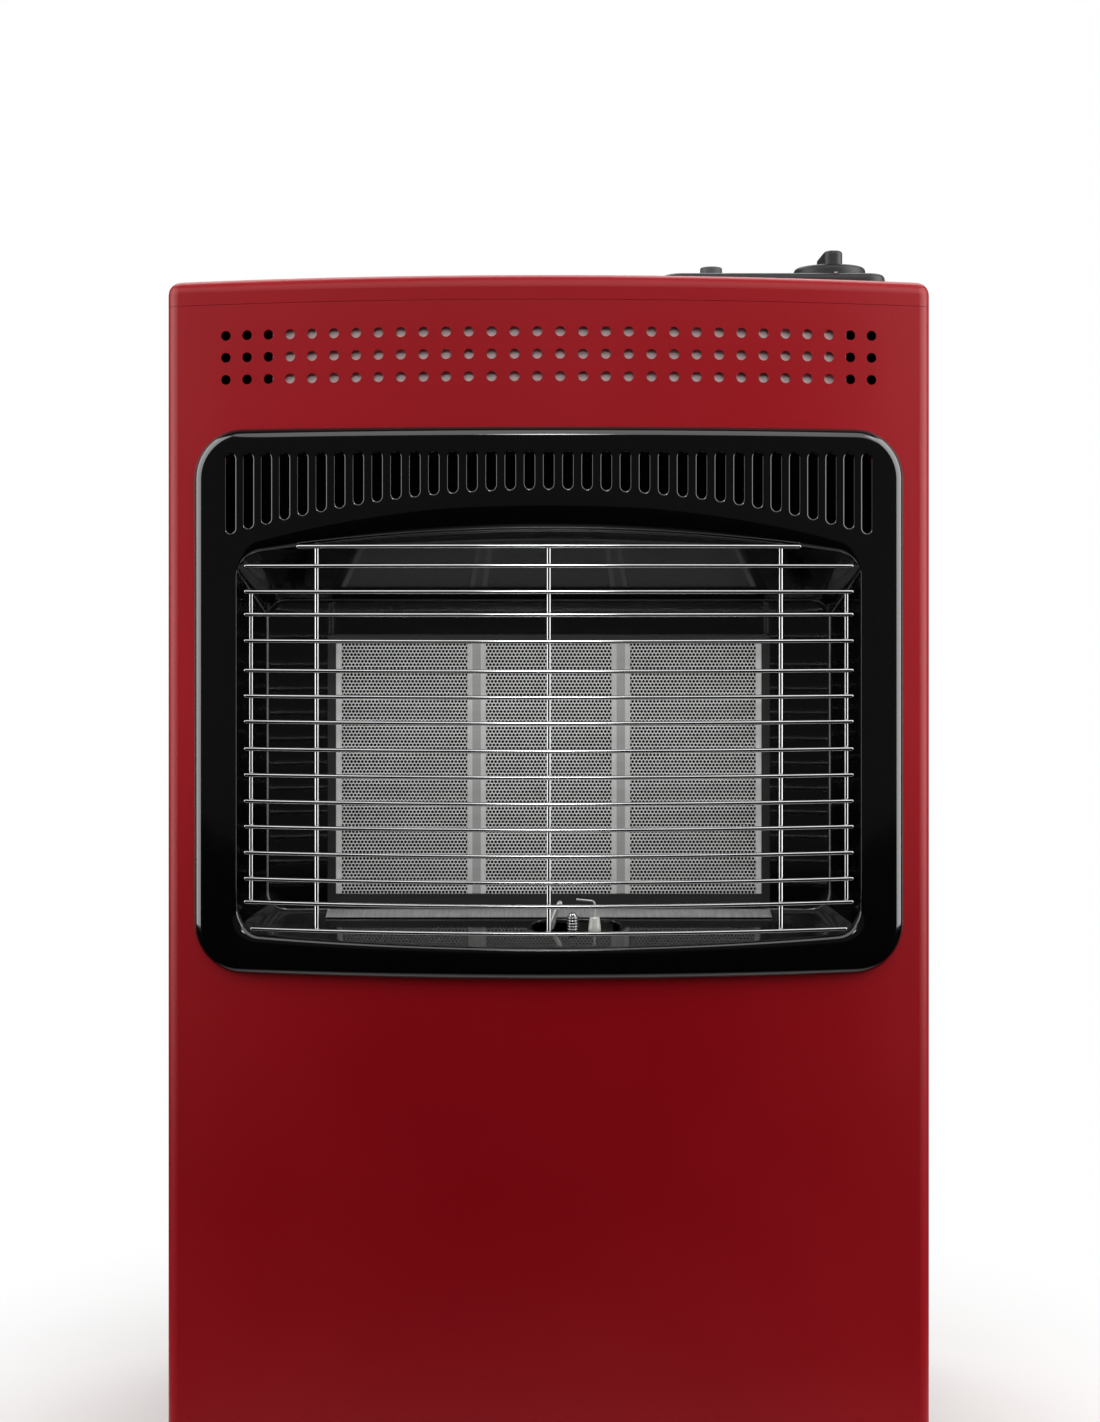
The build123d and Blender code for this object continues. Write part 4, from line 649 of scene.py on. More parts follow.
@dataclass(frozen=True)
class Surround:
    """Enamelled pressing: rounded rim, slotted face, rolled mouth, sunk recess and burner window.

    An outline is half its width, its lower z, its upper z and the radius of its corners. A
    share is a place on the recess's wall, from 0 at the mouth to 1 at the back.
    """

    outline: tuple[float, float, float, float] = (194.0, 338.0, 634.0, 27.0)
    proud: float = 6.0
    rim: float = 5.8
    # What is left between the panel and the end of the rim's round, and of its short skirt.
    round_gap: float = 0.2
    skirt_gap: float = 0.15

    mouth: tuple[float, float, float, float] = (176.7, 355.5, 582.6, 14.0)
    recess: tuple[float, float, float, float] = (156.5, 368.0, 540.6, 11.0)
    front_y: float = -210.0
    depth: float = 52.0
    # Mean length of the recess's wall from front to back.
    wall_length: float = 58.0
    # The mouth's roll at each height: small beside the wires, large along the top.
    roll_heights: tuple[float, ...] = (356.0, 364.0, 380.0, 564.0, 581.0)
    rolls: tuple[float, ...] = (2.5, 4.5, 0.6, 0.6, 12.0)
    # The rounded fold between wall and back, and how high it reaches above the floor.
    fold: float = 1.6
    floor_fold: float = 2.2
    window: tuple[float, float, float, float] = (123.3, 370.5, 522.1, 0.8)
    window_edge: float = 1.2

    slots: int = 35
    slot_pitch: float = 10.235
    slot_half: float = 2.5
    slot_top: float = 620.0
    # The slots' lower ends follow an arc, lowest in the corners.
    slot_low: float = 600.7
    slot_arc: float = 649.0
    lip: float = 1.0
    wall: float = 1.6

    # The pilot's cut-out in the floor: middle x and y, half its length and half its width.
    cutout: tuple[float, float, float, float] = (15.0, -180.0, 24.4, 10.0)
    cutout_margin: tuple[float, float] = (6.0, 4.0)
    cutout_roll: float = 0.8
    cutout_edge: float = 2.2

    def build(self) -> list[bpy.types.Object]:
        """Makes the pressing as one skin that replaces the CAD surround.

        Returns:
            The pressing.
        """
        shell = Shell()
        edge, share = self._edge()
        roll = np.interp(self._level(share)[:, 1], self.roll_heights, self.rolls)
        tight, wide = min(self.rolls), max(self.rolls)
        flat = self._level(share, tight)
        flat += (self._level(share, wide) - flat) * ((roll - tight) / (wide - tight))[:, None]
        face_loop = self._on_bow(flat)
        self._rim(shell)
        self._face(shell, face_loop[:, [0, 2]])
        wall_share = share + roll / self.wall_length
        shell.grid(ease(face_loop, edge, self._funnel(wall_share), steps=12), columns=True)
        self._funnel_and_back(shell, wall_share)
        piece = shell.piece(
            "burner_surround_enamelled", "cabinet", "black_enamel", [ENAMEL], merge=0.01
        )
        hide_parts("burner_surround")
        return [piece]

    def _level(self, share: np.ndarray, grow: float = 0.0) -> np.ndarray:
        """Outline of the recess: each point is mouth * (1 - share) + recess * share.

        Args:
            share: Each point's share, (n,).
            grow: How far the outline is grown outwards.

        Returns:
            Points (x, z), (n, 2).
        """
        share = np.asarray(share, float)[:, None]
        return round_loop(self.mouth, grow) * (1 - share) + round_loop(self.recess, grow) * share

    def _funnel(self, share: np.ndarray) -> np.ndarray:
        """Points of the recess's wall at each point's share, (n, 3)."""
        flat = self._level(share)
        return np.stack([flat[:, 0], self.front_y + share * self.depth, flat[:, 1]], 1)

    def _on_bow(self, flat: np.ndarray, sunk: float = 0.0) -> np.ndarray:
        """Points (x, z) carried onto the bowed face, or sunk below it."""
        return np.stack([flat[:, 0], BOW.y(self.proud - sunk, flat[:, 0]), flat[:, 1]], 1)

    def _edge(self) -> tuple[np.ndarray, np.ndarray]:
        """Finds where the recess's wall meets the bowed face, by repeated substitution.

        Returns:
            The points (n, 3) and their shares (n,).
        """
        share = np.full(len(round_loop(self.mouth)), 0.2)
        for _ in range(30):
            share = (BOW.y(self.proud, self._level(share)[:, 0]) - self.front_y) / self.depth
        return self._funnel(share), share

    def _rim(self, shell: Shell) -> None:
        """Adds the rim: a quarter round from the face to the panel, then straight back.

        Args:
            shell: The pressing's points and faces.
        """
        rings = [
            self._on_bow(round_loop(self.outline, -inset), sunk)
            for inset, sunk in quarter_round(self.rim, self.proud - self.round_gap, steps=12)
        ]
        rings.append(self._on_bow(round_loop(self.outline), self.proud - self.skirt_gap))
        shell.grid(np.stack(rings), columns=True)

    def _face(self, shell: Shell, inner: np.ndarray) -> None:
        """Adds the face between rim and mouth, with a rolled-in lip round each slot.

        Args:
            shell: The pressing's points and faces.
            inner: Outline (x, z) of the mouth.
        """
        number = np.arange(self.slots) - (self.slots - 1) / 2
        middle = BOW.x(self.proud, number * self.slot_pitch)
        low = self.slot_low - (self.slot_arc - np.sqrt(self.slot_arc**2 - middle**2))
        holes = [self._slot(x, z, self.lip) for x, z in zip(middle, low)]
        loops = [round_loop(self.outline, -self.rim), inner, *holes]
        points, triangles = fill_between(loops, spacing=7.0, clear=3.0)
        shell.join(shell.put(self._on_bow(points))[triangles])
        for x, z in zip(middle, low):
            rings = [
                self._on_bow(self._slot(x, z, grow), sunk)
                for grow, sunk in quarter_round(self.lip, self.lip, steps=6)
            ]
            rings.append(self._on_bow(self._slot(x, z, 0.0), self.lip + self.wall))
            shell.grid(np.stack(rings), columns=True)

    def _slot(self, x: float, low: float, grow: float) -> np.ndarray:
        """Outline of one slot: two half circles and the straight sides between them.

        Args:
            x: X of its middle.
            low: Z of its lower end.
            grow: How far the outline is grown outwards.

        Returns:
            Points (x, z), (n, 2).
        """
        turn = np.linspace(0, math.pi, 13)
        arc = np.stack([np.cos(turn), np.sin(turn)], 1) * (self.slot_half + grow)
        top, bottom = self.slot_top - self.slot_half, low + self.slot_half
        return np.concatenate([arc + [x, top], -arc + [x, bottom]])

    def _funnel_and_back(self, shell: Shell, share: np.ndarray) -> None:
        """Adds the recess's wall, the rounded fold behind it and the back round the window.

        Args:
            shell: The pressing's points and faces.
            share: Each point's share where the mouth's roll ends, (n,).
        """
        last = 1.0 - self.fold / self.wall_length
        steps = np.linspace(0, 1, 26)[:, None]
        wall = np.stack([self._funnel(row) for row in share * (1 - steps) + last * steps])
        self._wall_with_cutout(shell, wall)
        half, low, high, corner = self.recess
        folded = (half - self.fold, low + self.floor_fold, high - self.fold, corner - self.fold / 2)
        inward, window = self._on_back(folded), self._on_back(self.window)
        fold = ease(wall[-1], self._funnel(np.ones(len(share))), inward, steps=8)
        back = inward + (window - inward) * np.linspace(0, 1, 5)[:, None, None]
        sunk = window + [0.0, self.window_edge, 0.0]
        shell.grid(np.concatenate([fold, back[1:], sunk[None]]), columns=True)

    def _on_back(self, size: tuple[float, float, float, float]) -> np.ndarray:
        """Points of an outline on the recess's back, (n, 3)."""
        flat = round_loop(size)
        return np.stack([flat[:, 0], np.full(len(flat), self.front_y + self.depth), flat[:, 1]], 1)

    def _wall_with_cutout(self, shell: Shell, wall: np.ndarray) -> None:
        """Adds the wall: quads, but round the pilot's cut-out triangles with a turned-down edge.

        The floor is one plane, so its points need only x and y there, and z follows from y.

        Args:
            shell: The pressing's points and faces.
            wall: The wall's points, rows by n by 3.
        """
        x, y, half_long, half_wide = self.cutout
        inside = np.abs(wall[..., 0] - x) < half_long + self.cutout_margin[0]
        inside &= np.abs(wall[..., 1] - y) < half_wide + self.cutout_margin[1]
        inside &= wall[..., 2] < (self.outline[1] + self.outline[2]) / 2
        rows, columns = np.nonzero(inside)
        r0, r1, c0, c1 = rows.min(), rows.max(), columns.min(), columns.max()
        keep = np.ones((len(wall) - 1, wall.shape[1]), bool)
        keep[r0:r1, c0:c1] = False
        shell.grid(wall, columns=True, keep=keep)
        sides = [wall[r0, c0:c1], wall[r0:r1, c1], wall[r1, c1:c0:-1], wall[r1:r0:-1, c0]]
        loops = [np.concatenate(sides)[:, :2], self._oval(self.cutout_roll)]
        points, triangles = fill_between(loops, spacing=4.0, clear=1.5)
        shell.join(shell.put(self._on_floor(points, 0.0))[triangles])
        rings = [
            self._on_floor(self._oval(grow), drop)
            for grow, drop in quarter_round(self.cutout_roll, self.cutout_roll, steps=5)
        ]
        rings.append(self._on_floor(self._oval(0.0), self.cutout_edge))
        shell.grid(np.stack(rings), columns=True)

    def _on_floor(self, flat: np.ndarray, drop: float) -> np.ndarray:
        """Carries points onto the recess's floor, which rises evenly from mouth to back.

        Args:
            flat: Points (x, y), (n, 2).
            drop: How far below the floor they end up.

        Returns:
            Points, (n, 3).
        """
        share = (flat[:, 1] - self.front_y) / self.depth
        z = self.mouth[1] + share * (self.recess[1] - self.mouth[1]) - drop
        return np.stack([flat[:, 0], flat[:, 1], z], 1)

    def _oval(self, grow: float) -> np.ndarray:
        """Outline of the pilot's cut-out: two half circles and straight sides.

        Args:
            grow: How far the outline is grown outwards.

        Returns:
            Points (x, y), (n, 2).
        """
        x, y, half_long, half_wide = self.cutout
        turn = np.linspace(-math.pi / 2, math.pi / 2, 15)
        end = np.stack([np.cos(turn), np.sin(turn)], 1) * (half_wide + grow)
        reach = half_long - half_wide
        return np.concatenate([end + [x + reach, y], -end + [x - reach, y]])


@dataclass(frozen=True)
class WireGuard:
    """Welded guard: level wires bent to the bow, upright wires behind them, domed ends.

    The gaps lie between the level wires, from the lowest up.
    """

    wire: float = 2.3
    proud: float = 3.85
    low_z: float = 363.0
    gaps: tuple[float, ...] = (
        14.5, 12.6, 14.1, 14.1, 13.8, 14.2, 14.1, 14.8, 13.8, 13.9, 16.0, 14.3, 12.3, 13.9, 10.5,
    )
    long_half: float = 165.1
    low_half: float = 161.5
    top_half: float = 136.0
    dome: float = 0.7
    inner_uprights: tuple[float, ...] = (-125.1, 0.0, 125.1)
    outer_uprights: tuple[float, ...] = (-161.5, 161.5)
    # Numbers of the level wires between which the outer uprights reach.
    outer_ends: tuple[int, int] = (1, 13)
    overlap: float = 0.3
    weld: float = 0.3

    def build(self) -> list[bpy.types.Object]:
        """Makes every wire as one mesh that replaces the CAD guard.

        Returns:
            The guard.
        """
        shell = Shell()
        levels = self.low_z + np.concatenate([[0.0], np.cumsum(self.gaps)])
        halves = [self.low_half, *[self.long_half] * (len(levels) - 2), self.top_half]
        for z, half in zip(levels, halves):
            x = np.linspace(-half + self.dome, half - self.dome, 81)
            self._wire(shell, x, BOW.y(self.proud, x), np.full_like(x, z))
        uprights = [(x, 0, -1) for x in self.inner_uprights]
        uprights += [(x, *self.outer_ends) for x in self.outer_uprights]
        for x, low, high in uprights:
            z = np.linspace(levels[low] - self.overlap, levels[high] + self.overlap, 25)
            y = float(BOW.y(self.proud, x)) + self.wire - self.weld
            self._wire(shell, np.full_like(z, x), np.full_like(z, y), z)
        piece = shell.piece("wire_guard_plated", "cabinet", "plated_wire", [PLATED])
        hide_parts("wire_guard")
        return [piece]

    def _wire(self, shell: Shell, x: np.ndarray, y: np.ndarray, z: np.ndarray) -> None:
        """Adds one wire along the line of the points x, y and z."""
        shell.grid(tube(np.stack([x, y, z], 1), self.wire / 2), columns=True)


@dataclass(frozen=True)
class Plaque:
    """Perforated ceramic plaque: a hexagonal field of small holes inside a plain margin."""

    node: str
    middle: float
    width: float = 78.2
    height: float = 143.6
    low_z: float = 374.5
    front_y: float = -160.0
    back_y: float = -147.0
    margin_x: float = 4.0
    margin_z: float = 1.0
    pitch_x: float = 2.0
    pitch_z: float = 1.86
    hole: float = 1.74
    taper: float = 0.9
    depth: float = 4.5
    # The margin starts under the field, this far inside it and behind its front.
    tuck: float = 0.6
    tuck_depth: float = 0.12
    # Its outer part is almost level with the field, and its edge is broken.
    level: float = 0.02
    chamfer: float = 0.6

    def build(self) -> list[bpy.types.Object]:
        """Makes the plaque in place of its CAD node.

        The holes lie in rows that are shifted by half a pitch in turn. Each is one cell:
        a hexagon of six points on the front face, the same six a little smaller at the
        depth where light fades, and a floor there; walls and floor carry painted shade.
        Round it the cell's own hexagon, whose corners it shares with its neighbours, so the
        cells tile the field.

        Returns:
            The plaque.
        """
        shell = Shell()
        columns = int((self.width - 2 * self.margin_x) / self.pitch_x)
        rows = int((self.height - 2 * self.margin_z) / self.pitch_z)
        row, column = np.meshgrid(np.arange(rows), np.arange(columns), indexing="ij")
        shift = 0.25 * (1 - 2 * (row % 2))
        centre_x = self.middle + (column - (columns - 1) / 2 + shift) * self.pitch_x
        centre_z = self.low_z + self.height / 2 + (row - (rows - 1) / 2) * self.pitch_z
        centre_y = np.full(centre_x.shape, self.front_y)
        centres = np.stack([centre_x, centre_y, centre_z], -1).reshape(-1, 1, 3)
        side, third = self.pitch_x / 2, self.pitch_z / 3
        corners = np.zeros((6, 3))
        corners[:, 0] = [side, 0, -side, -side, 0, side]
        corners[:, 2] = [third, 2 * third, third, -third, -2 * third, -third]
        turn = np.radians(np.arange(6) * 60 + 30)
        circle = np.stack([np.cos(turn), np.zeros(6), np.sin(turn)], -1) * self.hole / 2
        outer = shell.put(centres + corners)
        rim = shell.put(centres + circle)
        floor = shell.put(centres + circle * self.taper + [0, self.depth, 0])
        after = np.roll(np.arange(6), -1)
        shell.join(np.stack([outer, outer[:, after], rim[:, after], rim], -1))
        # Walls and floors of the holes take the second finish, painted shade.
        shell.join(np.stack([rim, rim[:, after], floor[:, after], floor], -1), 1)
        shell.join(floor, 1)
        self._body(shell, columns, rows)
        name, finishes = f"{self.node}_perforated", [CORDIERITE, CHANNEL]
        piece = shell.piece(name, "cabinet", "plaque_ceramic", finishes, merge=0.01)
        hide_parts(self.node)
        return [piece]

    def _body(self, shell: Shell, columns: int, rows: int) -> None:
        """Adds the plain margin round the field, the sides and the back.

        Args:
            shell: The plaque's points and faces.
            columns: Holes in a row.
            rows: Rows of holes.
        """
        # The shifted rows make the field half a pitch wider, the hexagons' tips a third higher.
        field_x = (columns + 0.5) * self.pitch_x / 2 + 0.05
        field_z = (rows + 0.34) * self.pitch_z / 2
        half_x, half_z = self.width / 2, self.height / 2
        loops = [
            (field_x - self.tuck, field_z - self.tuck, self.front_y + self.tuck_depth),
            (half_x - self.chamfer, half_z - self.chamfer, self.front_y + self.level),
            (half_x, half_z, self.front_y + self.chamfer),
            (half_x, half_z, self.back_y),
        ]
        side, rise = np.array([-1.0, 1.0, 1.0, -1.0]), np.array([-1.0, -1.0, 1.0, 1.0])
        rings = [
            np.stack([self.middle + side * x, np.full(4, y), self.low_z + half_z + rise * z], -1)
            for x, z, y in loops
        ]
        numbers = shell.grid(np.stack(rings), columns=True)
        shell.join(numbers[-1][None, ::-1])


@dataclass(frozen=True)
class FrameEdge:
    """Lower edge of the burner's frame: a sill before the plaques in painted shade, a bare lip on
    the floor in painted light.
    """

    sill_half: float = 118.6
    sill_low: float = 371.0
    sill_high: float = 377.6
    sill_y: float = -161.5
    sill_depth: float = 1.4
    sill_round: float = 0.35
    lip_half: float = 123.0
    lip_y: float = -158.6
    lip_z: float = 369.0
    lip_reach: float = 11.2
    lip_slope: float = 0.24
    lip_thick: float = 0.5

    def build(self) -> list[bpy.types.Object]:
        """Makes the sill and the lip.

        Returns:
            Both pieces.
        """
        return [self._sill(), self._lip()]

    def _sill(self) -> bpy.types.Object:
        """Makes the sill: an upright strip with broken front edges, carried along x.

        Returns:
            The sill.
        """
        low, high, edge = self.sill_low, self.sill_high, self.sill_round
        front, back = self.sill_y, self.sill_y + self.sill_depth
        across = np.linspace(-self.sill_half, self.sill_half, 60)
        points = np.empty((6, len(across), 3))
        points[..., 0] = across
        points[..., 1] = np.array([back, front + edge, front, front, front + edge, back])[:, None]
        points[..., 2] = np.array([low, low, low + edge, high - edge, high, high])[:, None]
        shell = Shell()
        numbers = shell.grid(points, rows=True)
        shell.join(numbers[:, 0][None])
        shell.join(numbers[::-1, -1][None])
        # The sill lies below the frame finish's bright box, so all of it takes the painted shade.
        return shell.piece("burner_frame_sill", "cabinet", "burner_steel", [FRAME_STEEL])

    def _lip(self) -> bpy.types.Object:
        """Makes the lip: a thin plate that falls with the floor, closed at both ends.

        Returns:
            The lip.
        """
        along = np.linspace(0, self.lip_reach, 9)[:, None]
        across = np.linspace(-self.lip_half, self.lip_half, 80)[None]
        top = np.stack(
            np.broadcast_arrays(across, self.lip_y - along, self.lip_z - along * self.lip_slope), -1
        )
        under = top - [0.0, 0.0, self.lip_thick]
        shell = Shell()
        shell.grid(np.concatenate([top, under[::-1]]), rows=True)
        for column in (0, -1):
            shell.join(shell.put(np.concatenate([top[:, column], under[::-1, column]]))[None])
        return shell.piece("burner_frame_lip", "cabinet", "burner_steel", [LIP_STEEL])


@dataclass(frozen=True)
class Pilot:
    """Pilot burner with rounded ribs, and the leaning thermocouple probe beside it.

    Both end about 5 mm lower than their CAD nodes, as in the photograph.
    """

    axis: tuple[float, float, float] = (13.1, -180.0, 351.0)
    radius: float = 3.45
    groove: float = 0.95
    ribs: int = 10
    rib_pitch: float = 1.55
    foot: float = 1.8
    dome: float = 2.2
    nut_drop: float = 8.0
    # Half the nut's width across its flats.
    nut_half: float = 5.0

    probe_low: tuple[float, float, float] = (-2.6, -180.0, 353.7)
    probe_slope: float = 0.4
    probe_length: float = 23.2
    probe_radius: float = 1.4
    collar_low: float = 9.0
    collar_high: float = 13.0
    collar_proud: float = 0.7

    def build(self) -> list[bpy.types.Object]:
        """Makes both pieces in place of the CAD's.

        Returns:
            The burner and the probe.
        """
        return [self._burner(), self._probe()]

    def _burner(self) -> bpy.types.Object:
        """Makes the burner: nut, plain foot, ribs and dome as one turned body.

        The ribs' radius is radius - groove * (1 - |sin|), with one rib for each half turn of
        the sine. The nut's radius at an angle is its half width over the cosine of the angle
        to the middle of the nearest flat.

        Returns:
            The burner.
        """
        turn = np.linspace(0, 2 * math.pi, TURNED_SIDES, endpoint=False)
        nut = self.nut_half / np.cos(turn % (math.pi / 3) - math.pi / 6)
        step = np.linspace(0, self.ribs, 10 * self.ribs + 1)
        ribs = self.radius - self.groove * (1 - np.abs(np.sin(step * math.pi)))
        swing = np.linspace(0, math.pi / 2, 9)
        top = self.foot + self.ribs * self.rib_pitch
        height = np.concatenate(
            [
                [-self.nut_drop, -self.nut_drop, 0.0, 0.0, self.foot],
                self.foot + step * self.rib_pitch,
                top + self.dome * np.sin(swing),
            ]
        )
        turned = np.array([self.radius, self.radius, *ribs, *(self.dome * np.cos(swing))])
        turned = np.repeat(turned[:, None], TURNED_SIDES, 1)
        radius = np.concatenate([np.zeros((1, TURNED_SIDES)), [nut, nut], turned])
        return self._piece("pilot_burner", "burner_steel", lathe(radius, height, self.axis), PLATED)

    def _probe(self) -> bpy.types.Object:
        """Makes the probe: a round-ended rod with a collar where the bracket holds it.

        Returns:
            The probe.
        """
        along = np.array([self.probe_slope, 0.0, 1.0]) / math.hypot(self.probe_slope, 1.0)
        swing = np.linspace(0, math.pi / 2, 7)
        rod, collar = self.probe_radius, self.probe_radius + self.collar_proud
        low, high = self.collar_low, self.collar_high
        tip = self.probe_length + rod * np.sin(swing)
        height = np.concatenate([[0.0, 0.0, low, low, high, high], tip])
        radius = np.concatenate([[0.0, rod, rod, collar, collar, rod], rod * np.cos(swing)])
        points = lathe(radius[:, None], height, self.probe_low, tuple(along))
        return self._piece("thermocouple", "zinc_plate", points, ZINC)

    def _piece(
        self, node: str, slot: str, points: np.ndarray, finish: Finish
    ) -> bpy.types.Object:
        """Makes one turned piece in place of its node.

        Args:
            node: The CAD node that it stands for.
            slot: The record's material slot.
            points: Its rings of points.
            finish: Its finish.

        Returns:
            The piece.
        """
        shell = Shell()
        shell.grid(points, columns=True)
        piece = shell.piece(f"{node}_turned", "cabinet", slot, [finish])
        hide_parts(node)
        return piece


@dataclass(frozen=True)
class DialNumbers:
    """Plain numbers round the knob on the bezel's top, from 0 up."""

    knob_x: float = 166.0
    knob_y: float = -88.0
    top_z: float = 730.0
    radius: float = 27.5
    size: float = 5.0
    # Half the ink's thickness, and where its middle lies above the bezel.
    half_thick: float = 0.12
    lift: float = 0.05
    angles: tuple[float, ...] = (-90.0, -10.0, 70.0, 150.0)

    def build(self) -> list[bpy.types.Object]:
        """Makes one raised figure for each setting.

        Returns:
            The figures.
        """
        turns = [math.radians(angle) for angle in self.angles]
        return [self._figure(number, turn) for number, turn in enumerate(turns)]

    def _figure(self, number: int, turn: float) -> bpy.types.Object:
        """Makes one figure: text that becomes a mesh, whose points are then moved to their place.

        Args:
            number: The number that it shows.
            turn: Its angle round the knob, in radians.

        Returns:
            The figure.
        """
        curve = bpy.data.curves.new(f"dial_figure_{number}_curve", "FONT")
        curve.body = str(number)
        curve.size = self.size * MM
        curve.align_x = "CENTER"
        curve.align_y = "CENTER"
        curve.extrude = self.half_thick * MM
        maker = bpy.data.objects.new("figure_maker", curve)
        bpy.context.scene.collection.objects.link(maker)
        bpy.context.view_layer.update()
        mesh = bpy.data.meshes.new_from_object(maker)
        bpy.data.objects.remove(maker)
        x = self.knob_x + self.radius * math.cos(turn)
        y = self.knob_y + self.radius * math.sin(turn)
        points = np.empty(len(mesh.vertices) * 3)
        mesh.vertices.foreach_get("co", points)
        placed = points.reshape(-1, 3) + np.array([x, y, self.top_z + self.lift]) * MM
        mesh.vertices.foreach_set("co", placed.ravel())
        mesh.update()
        mesh.materials.clear()
        mesh.materials.append(PRINT_WHITE.material())
        figure = bpy.data.objects.new(f"dial_figure_{number}", mesh)
        bpy.context.scene.collection.objects.link(figure)
        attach(figure, "cabinet")
        return figure


@dataclass(frozen=True)
class Softbox:
    """An area light that looks at the middle of the heater.

    Attributes:
        name: The light's name.
        place: Where it stands, in millimetres.
        size: Its width and height in millimetres.
        power: Its power in watts.
        spread: Angle in degrees that its grid lets through.
    """

    name: str
    place: tuple[float, float, float]
    size: tuple[float, float]
    power: float
    spread: float = 180.0
    aim: tuple[float, float, float] = (0.0, -100.0, 450.0)

    def build(self) -> None:
        """Adds the light, which the camera itself doesn't see."""
        lamp = bpy.data.lights.new(self.name, "AREA")
        lamp.shape = "RECTANGLE"
        lamp.size = self.size[0] * MM
        lamp.size_y = self.size[1] * MM
        lamp.energy = self.power
        lamp.spread = math.radians(self.spread)
        holder = bpy.data.objects.new(self.name, lamp)
        holder.location = Vector(self.place) * MM
        look = Vector(self.aim) * MM - holder.location
        holder.rotation_euler = look.to_track_quat("-Z", "Y").to_euler()
        holder.visible_camera = False
        bpy.context.scene.collection.objects.link(holder)


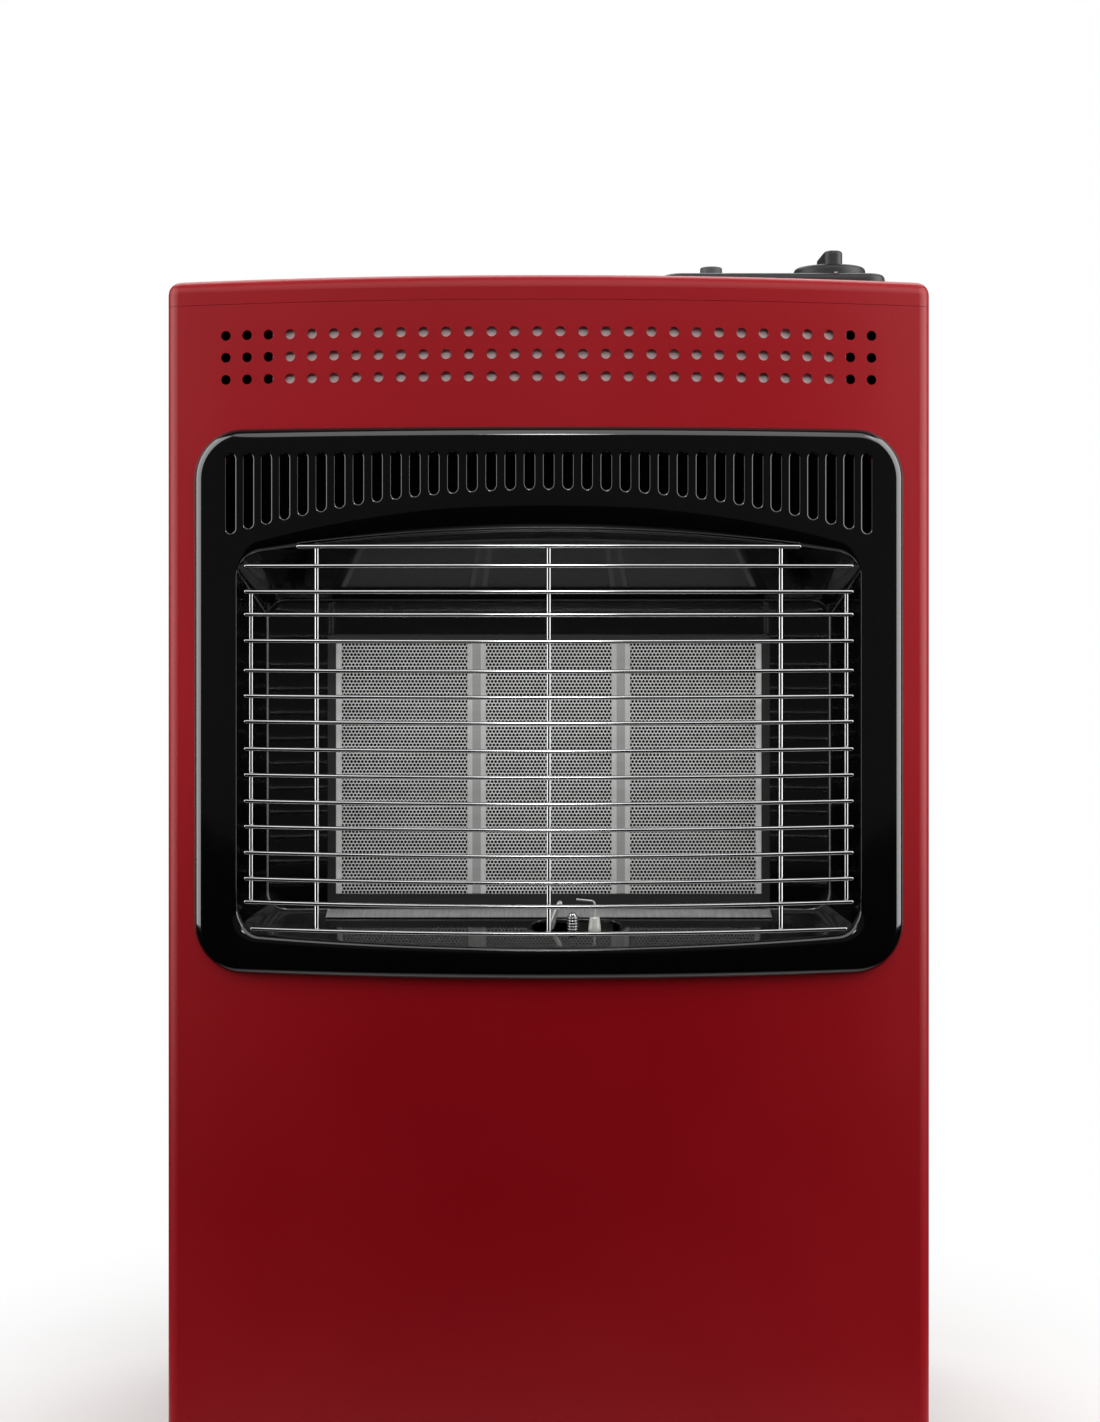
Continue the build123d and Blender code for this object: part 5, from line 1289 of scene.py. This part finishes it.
@dataclass(frozen=True)
class Studio:
    """Camera, floor and soft light of a plain studio.

    The camera stands level before the heater; its place, lens and shift were fitted to the
    photograph. The room is the strength of the dim light from all sides, and the floor
    fades to white between two distances in metres.
    """

    eye_y: float = -1304.0
    eye_z: float = 547.0
    lens: float = 52.05
    sensor: float = 36.0
    shift_x: float = 0.0009
    shift_y: float = -0.0858
    near: float = 0.01
    room: float = 0.06
    floor_half: float = 3.0
    fade_from: float = 0.25
    fade_to: float = 0.55
    softboxes: tuple[Softbox, ...] = (
        Softbox("softbox_left", (-1350, -360, 850), (1150, 1600), 19.0),
        Softbox("softbox_right", (1350, -360, 850), (1150, 1600), 23.0),
        Softbox("softbox_key", (60, -600, 1090), (1400, 560), 4.3),
        Softbox("softbox_rear", (0, 1000, 2200), (2600, 1200), 34.0),
        Softbox("softbox_burner", (0, -1150, 1050), (800, 160), 0.12, spread=16.0),
    )

    def build(self) -> None:
        """Sets up the camera, the pale world, the floor and the softboxes."""
        scene = bpy.context.scene
        scene.view_settings.view_transform = "Standard"
        self._camera(scene)
        self._world(scene)
        self._floor()
        for softbox in self.softboxes:
            softbox.build()

    def _camera(self, scene: bpy.types.Scene) -> None:
        """Adds the camera at the photograph's viewpoint.

        Args:
            scene: The scene that gets it.
        """
        camera = bpy.data.cameras.new("camera")
        camera.lens = self.lens
        camera.sensor_fit = "AUTO"
        camera.sensor_width = self.sensor
        camera.shift_x = self.shift_x
        camera.shift_y = self.shift_y
        camera.clip_start = self.near
        holder = bpy.data.objects.new("camera", camera)
        holder.location = (0.0, self.eye_y * MM, self.eye_z * MM)
        holder.rotation_euler = (math.pi / 2, 0.0, 0.0)
        scene.collection.objects.link(holder)
        scene.camera = holder

    def _world(self, scene: bpy.types.Scene) -> None:
        """Adds white paper behind the heater, in a dim room, which is what the enamel reflects.

        Args:
            scene: The scene that gets the world.
        """
        world = bpy.data.worlds.new("studio_white")
        world.use_nodes = True
        scene.world = world
        tree = world.node_tree
        tree.nodes.clear()
        seen = add(tree, "ShaderNodeLightPath").outputs["Is Camera Ray"]
        room = add(tree, "ShaderNodeBackground", {"Color": WHITE, "Strength": self.room})
        paper = add(tree, "ShaderNodeBackground", {"Color": WHITE, "Strength": 1.0})
        both = add(tree, "ShaderNodeMixShader", {0: seen, 1: room.outputs[0], 2: paper.outputs[0]})
        add(tree, "ShaderNodeOutputWorld", {"Surface": both.outputs["Shader"]})

    def _floor(self) -> None:
        """Adds a plain pale floor under the castors."""
        mesh = bpy.data.meshes.new("studio_floor")
        half = self.floor_half
        corners = [(-half, -half, 0), (half, -half, 0), (half, half, 0), (-half, half, 0)]
        mesh.from_pydata(corners, [], [(0, 1, 2, 3)])
        mesh.materials.append(FLOOR.material())
        self._fade(FLOOR.material().node_tree)
        floor = bpy.data.objects.new("studio_floor", mesh)
        bpy.context.scene.collection.objects.link(floor)

    def _fade(self, tree: bpy.types.NodeTree) -> None:
        """Lets the paper pass into the white behind it, and be seen through from below.

        Away from the heater the camera sees plain white, and no light comes back to the scene.

        Args:
            tree: The floor material's node tree.
        """
        output = next(node for node in tree.nodes if node.type == "OUTPUT_MATERIAL")
        paper = output.inputs["Surface"].links[0].from_socket
        place = add(tree, "ShaderNodeTexCoord").outputs["Object"]
        reach = add(tree, "ShaderNodeVectorMath", {0: place}, operation="LENGTH").outputs["Value"]
        limits = {"Value": reach, "From Min": self.fade_from, "From Max": self.fade_to}
        far = add(tree, "ShaderNodeMapRange", limits, interpolation_type="SMOOTHSTEP")
        seen = add(tree, "ShaderNodeLightPath").outputs["Is Camera Ray"]
        white = add(tree, "ShaderNodeEmission", {"Color": WHITE, "Strength": seen})
        tones = {0: far.outputs["Result"], 1: paper, 2: white.outputs[0]}
        faded = add(tree, "ShaderNodeMixShader", tones).outputs[0]
        below = add(tree, "ShaderNodeNewGeometry").outputs["Backfacing"]
        clear = add(tree, "ShaderNodeBsdfTransparent")
        both = add(tree, "ShaderNodeMixShader", {0: below, 1: faded, 2: clear.outputs[0]})
        tree.links.new(both.outputs[0], output.inputs["Surface"])


def dress(frame: dict) -> None:
    """Gives every CAD node its own finish or that of its record slot, and reports it.
    """
    slots = {part["node"]: part["material_slot"] for part in frame["record"]["subparts"]}
    for name, node in frame["nodes"].items():
        finish = NODE_FINISHES.get(name) or SLOT_FINISHES[slots[name]]
        node.data.materials.clear()
        node.data.materials.append(finish.material())
        log.info("%s: %s", name, finish.name)


def main() -> None:
    """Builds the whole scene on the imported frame, and reports each piece."""
    logging.basicConfig(level=logging.INFO)
    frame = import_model()
    dress(frame)
    Studio().build()
    plaques = (
        Plaque("plaque_left", -80.2),
        Plaque("plaque_centre", 0.0),
        Plaque("plaque_right", 80.2),
    )
    for assembly in (Surround(), WireGuard(), *plaques, FrameEdge(), Pilot(), DialNumbers()):
        for piece in assembly.build():
            log.info("%s: %d faces", piece.name, len(piece.data.polygons))


if __name__ == "__main__":
    main()
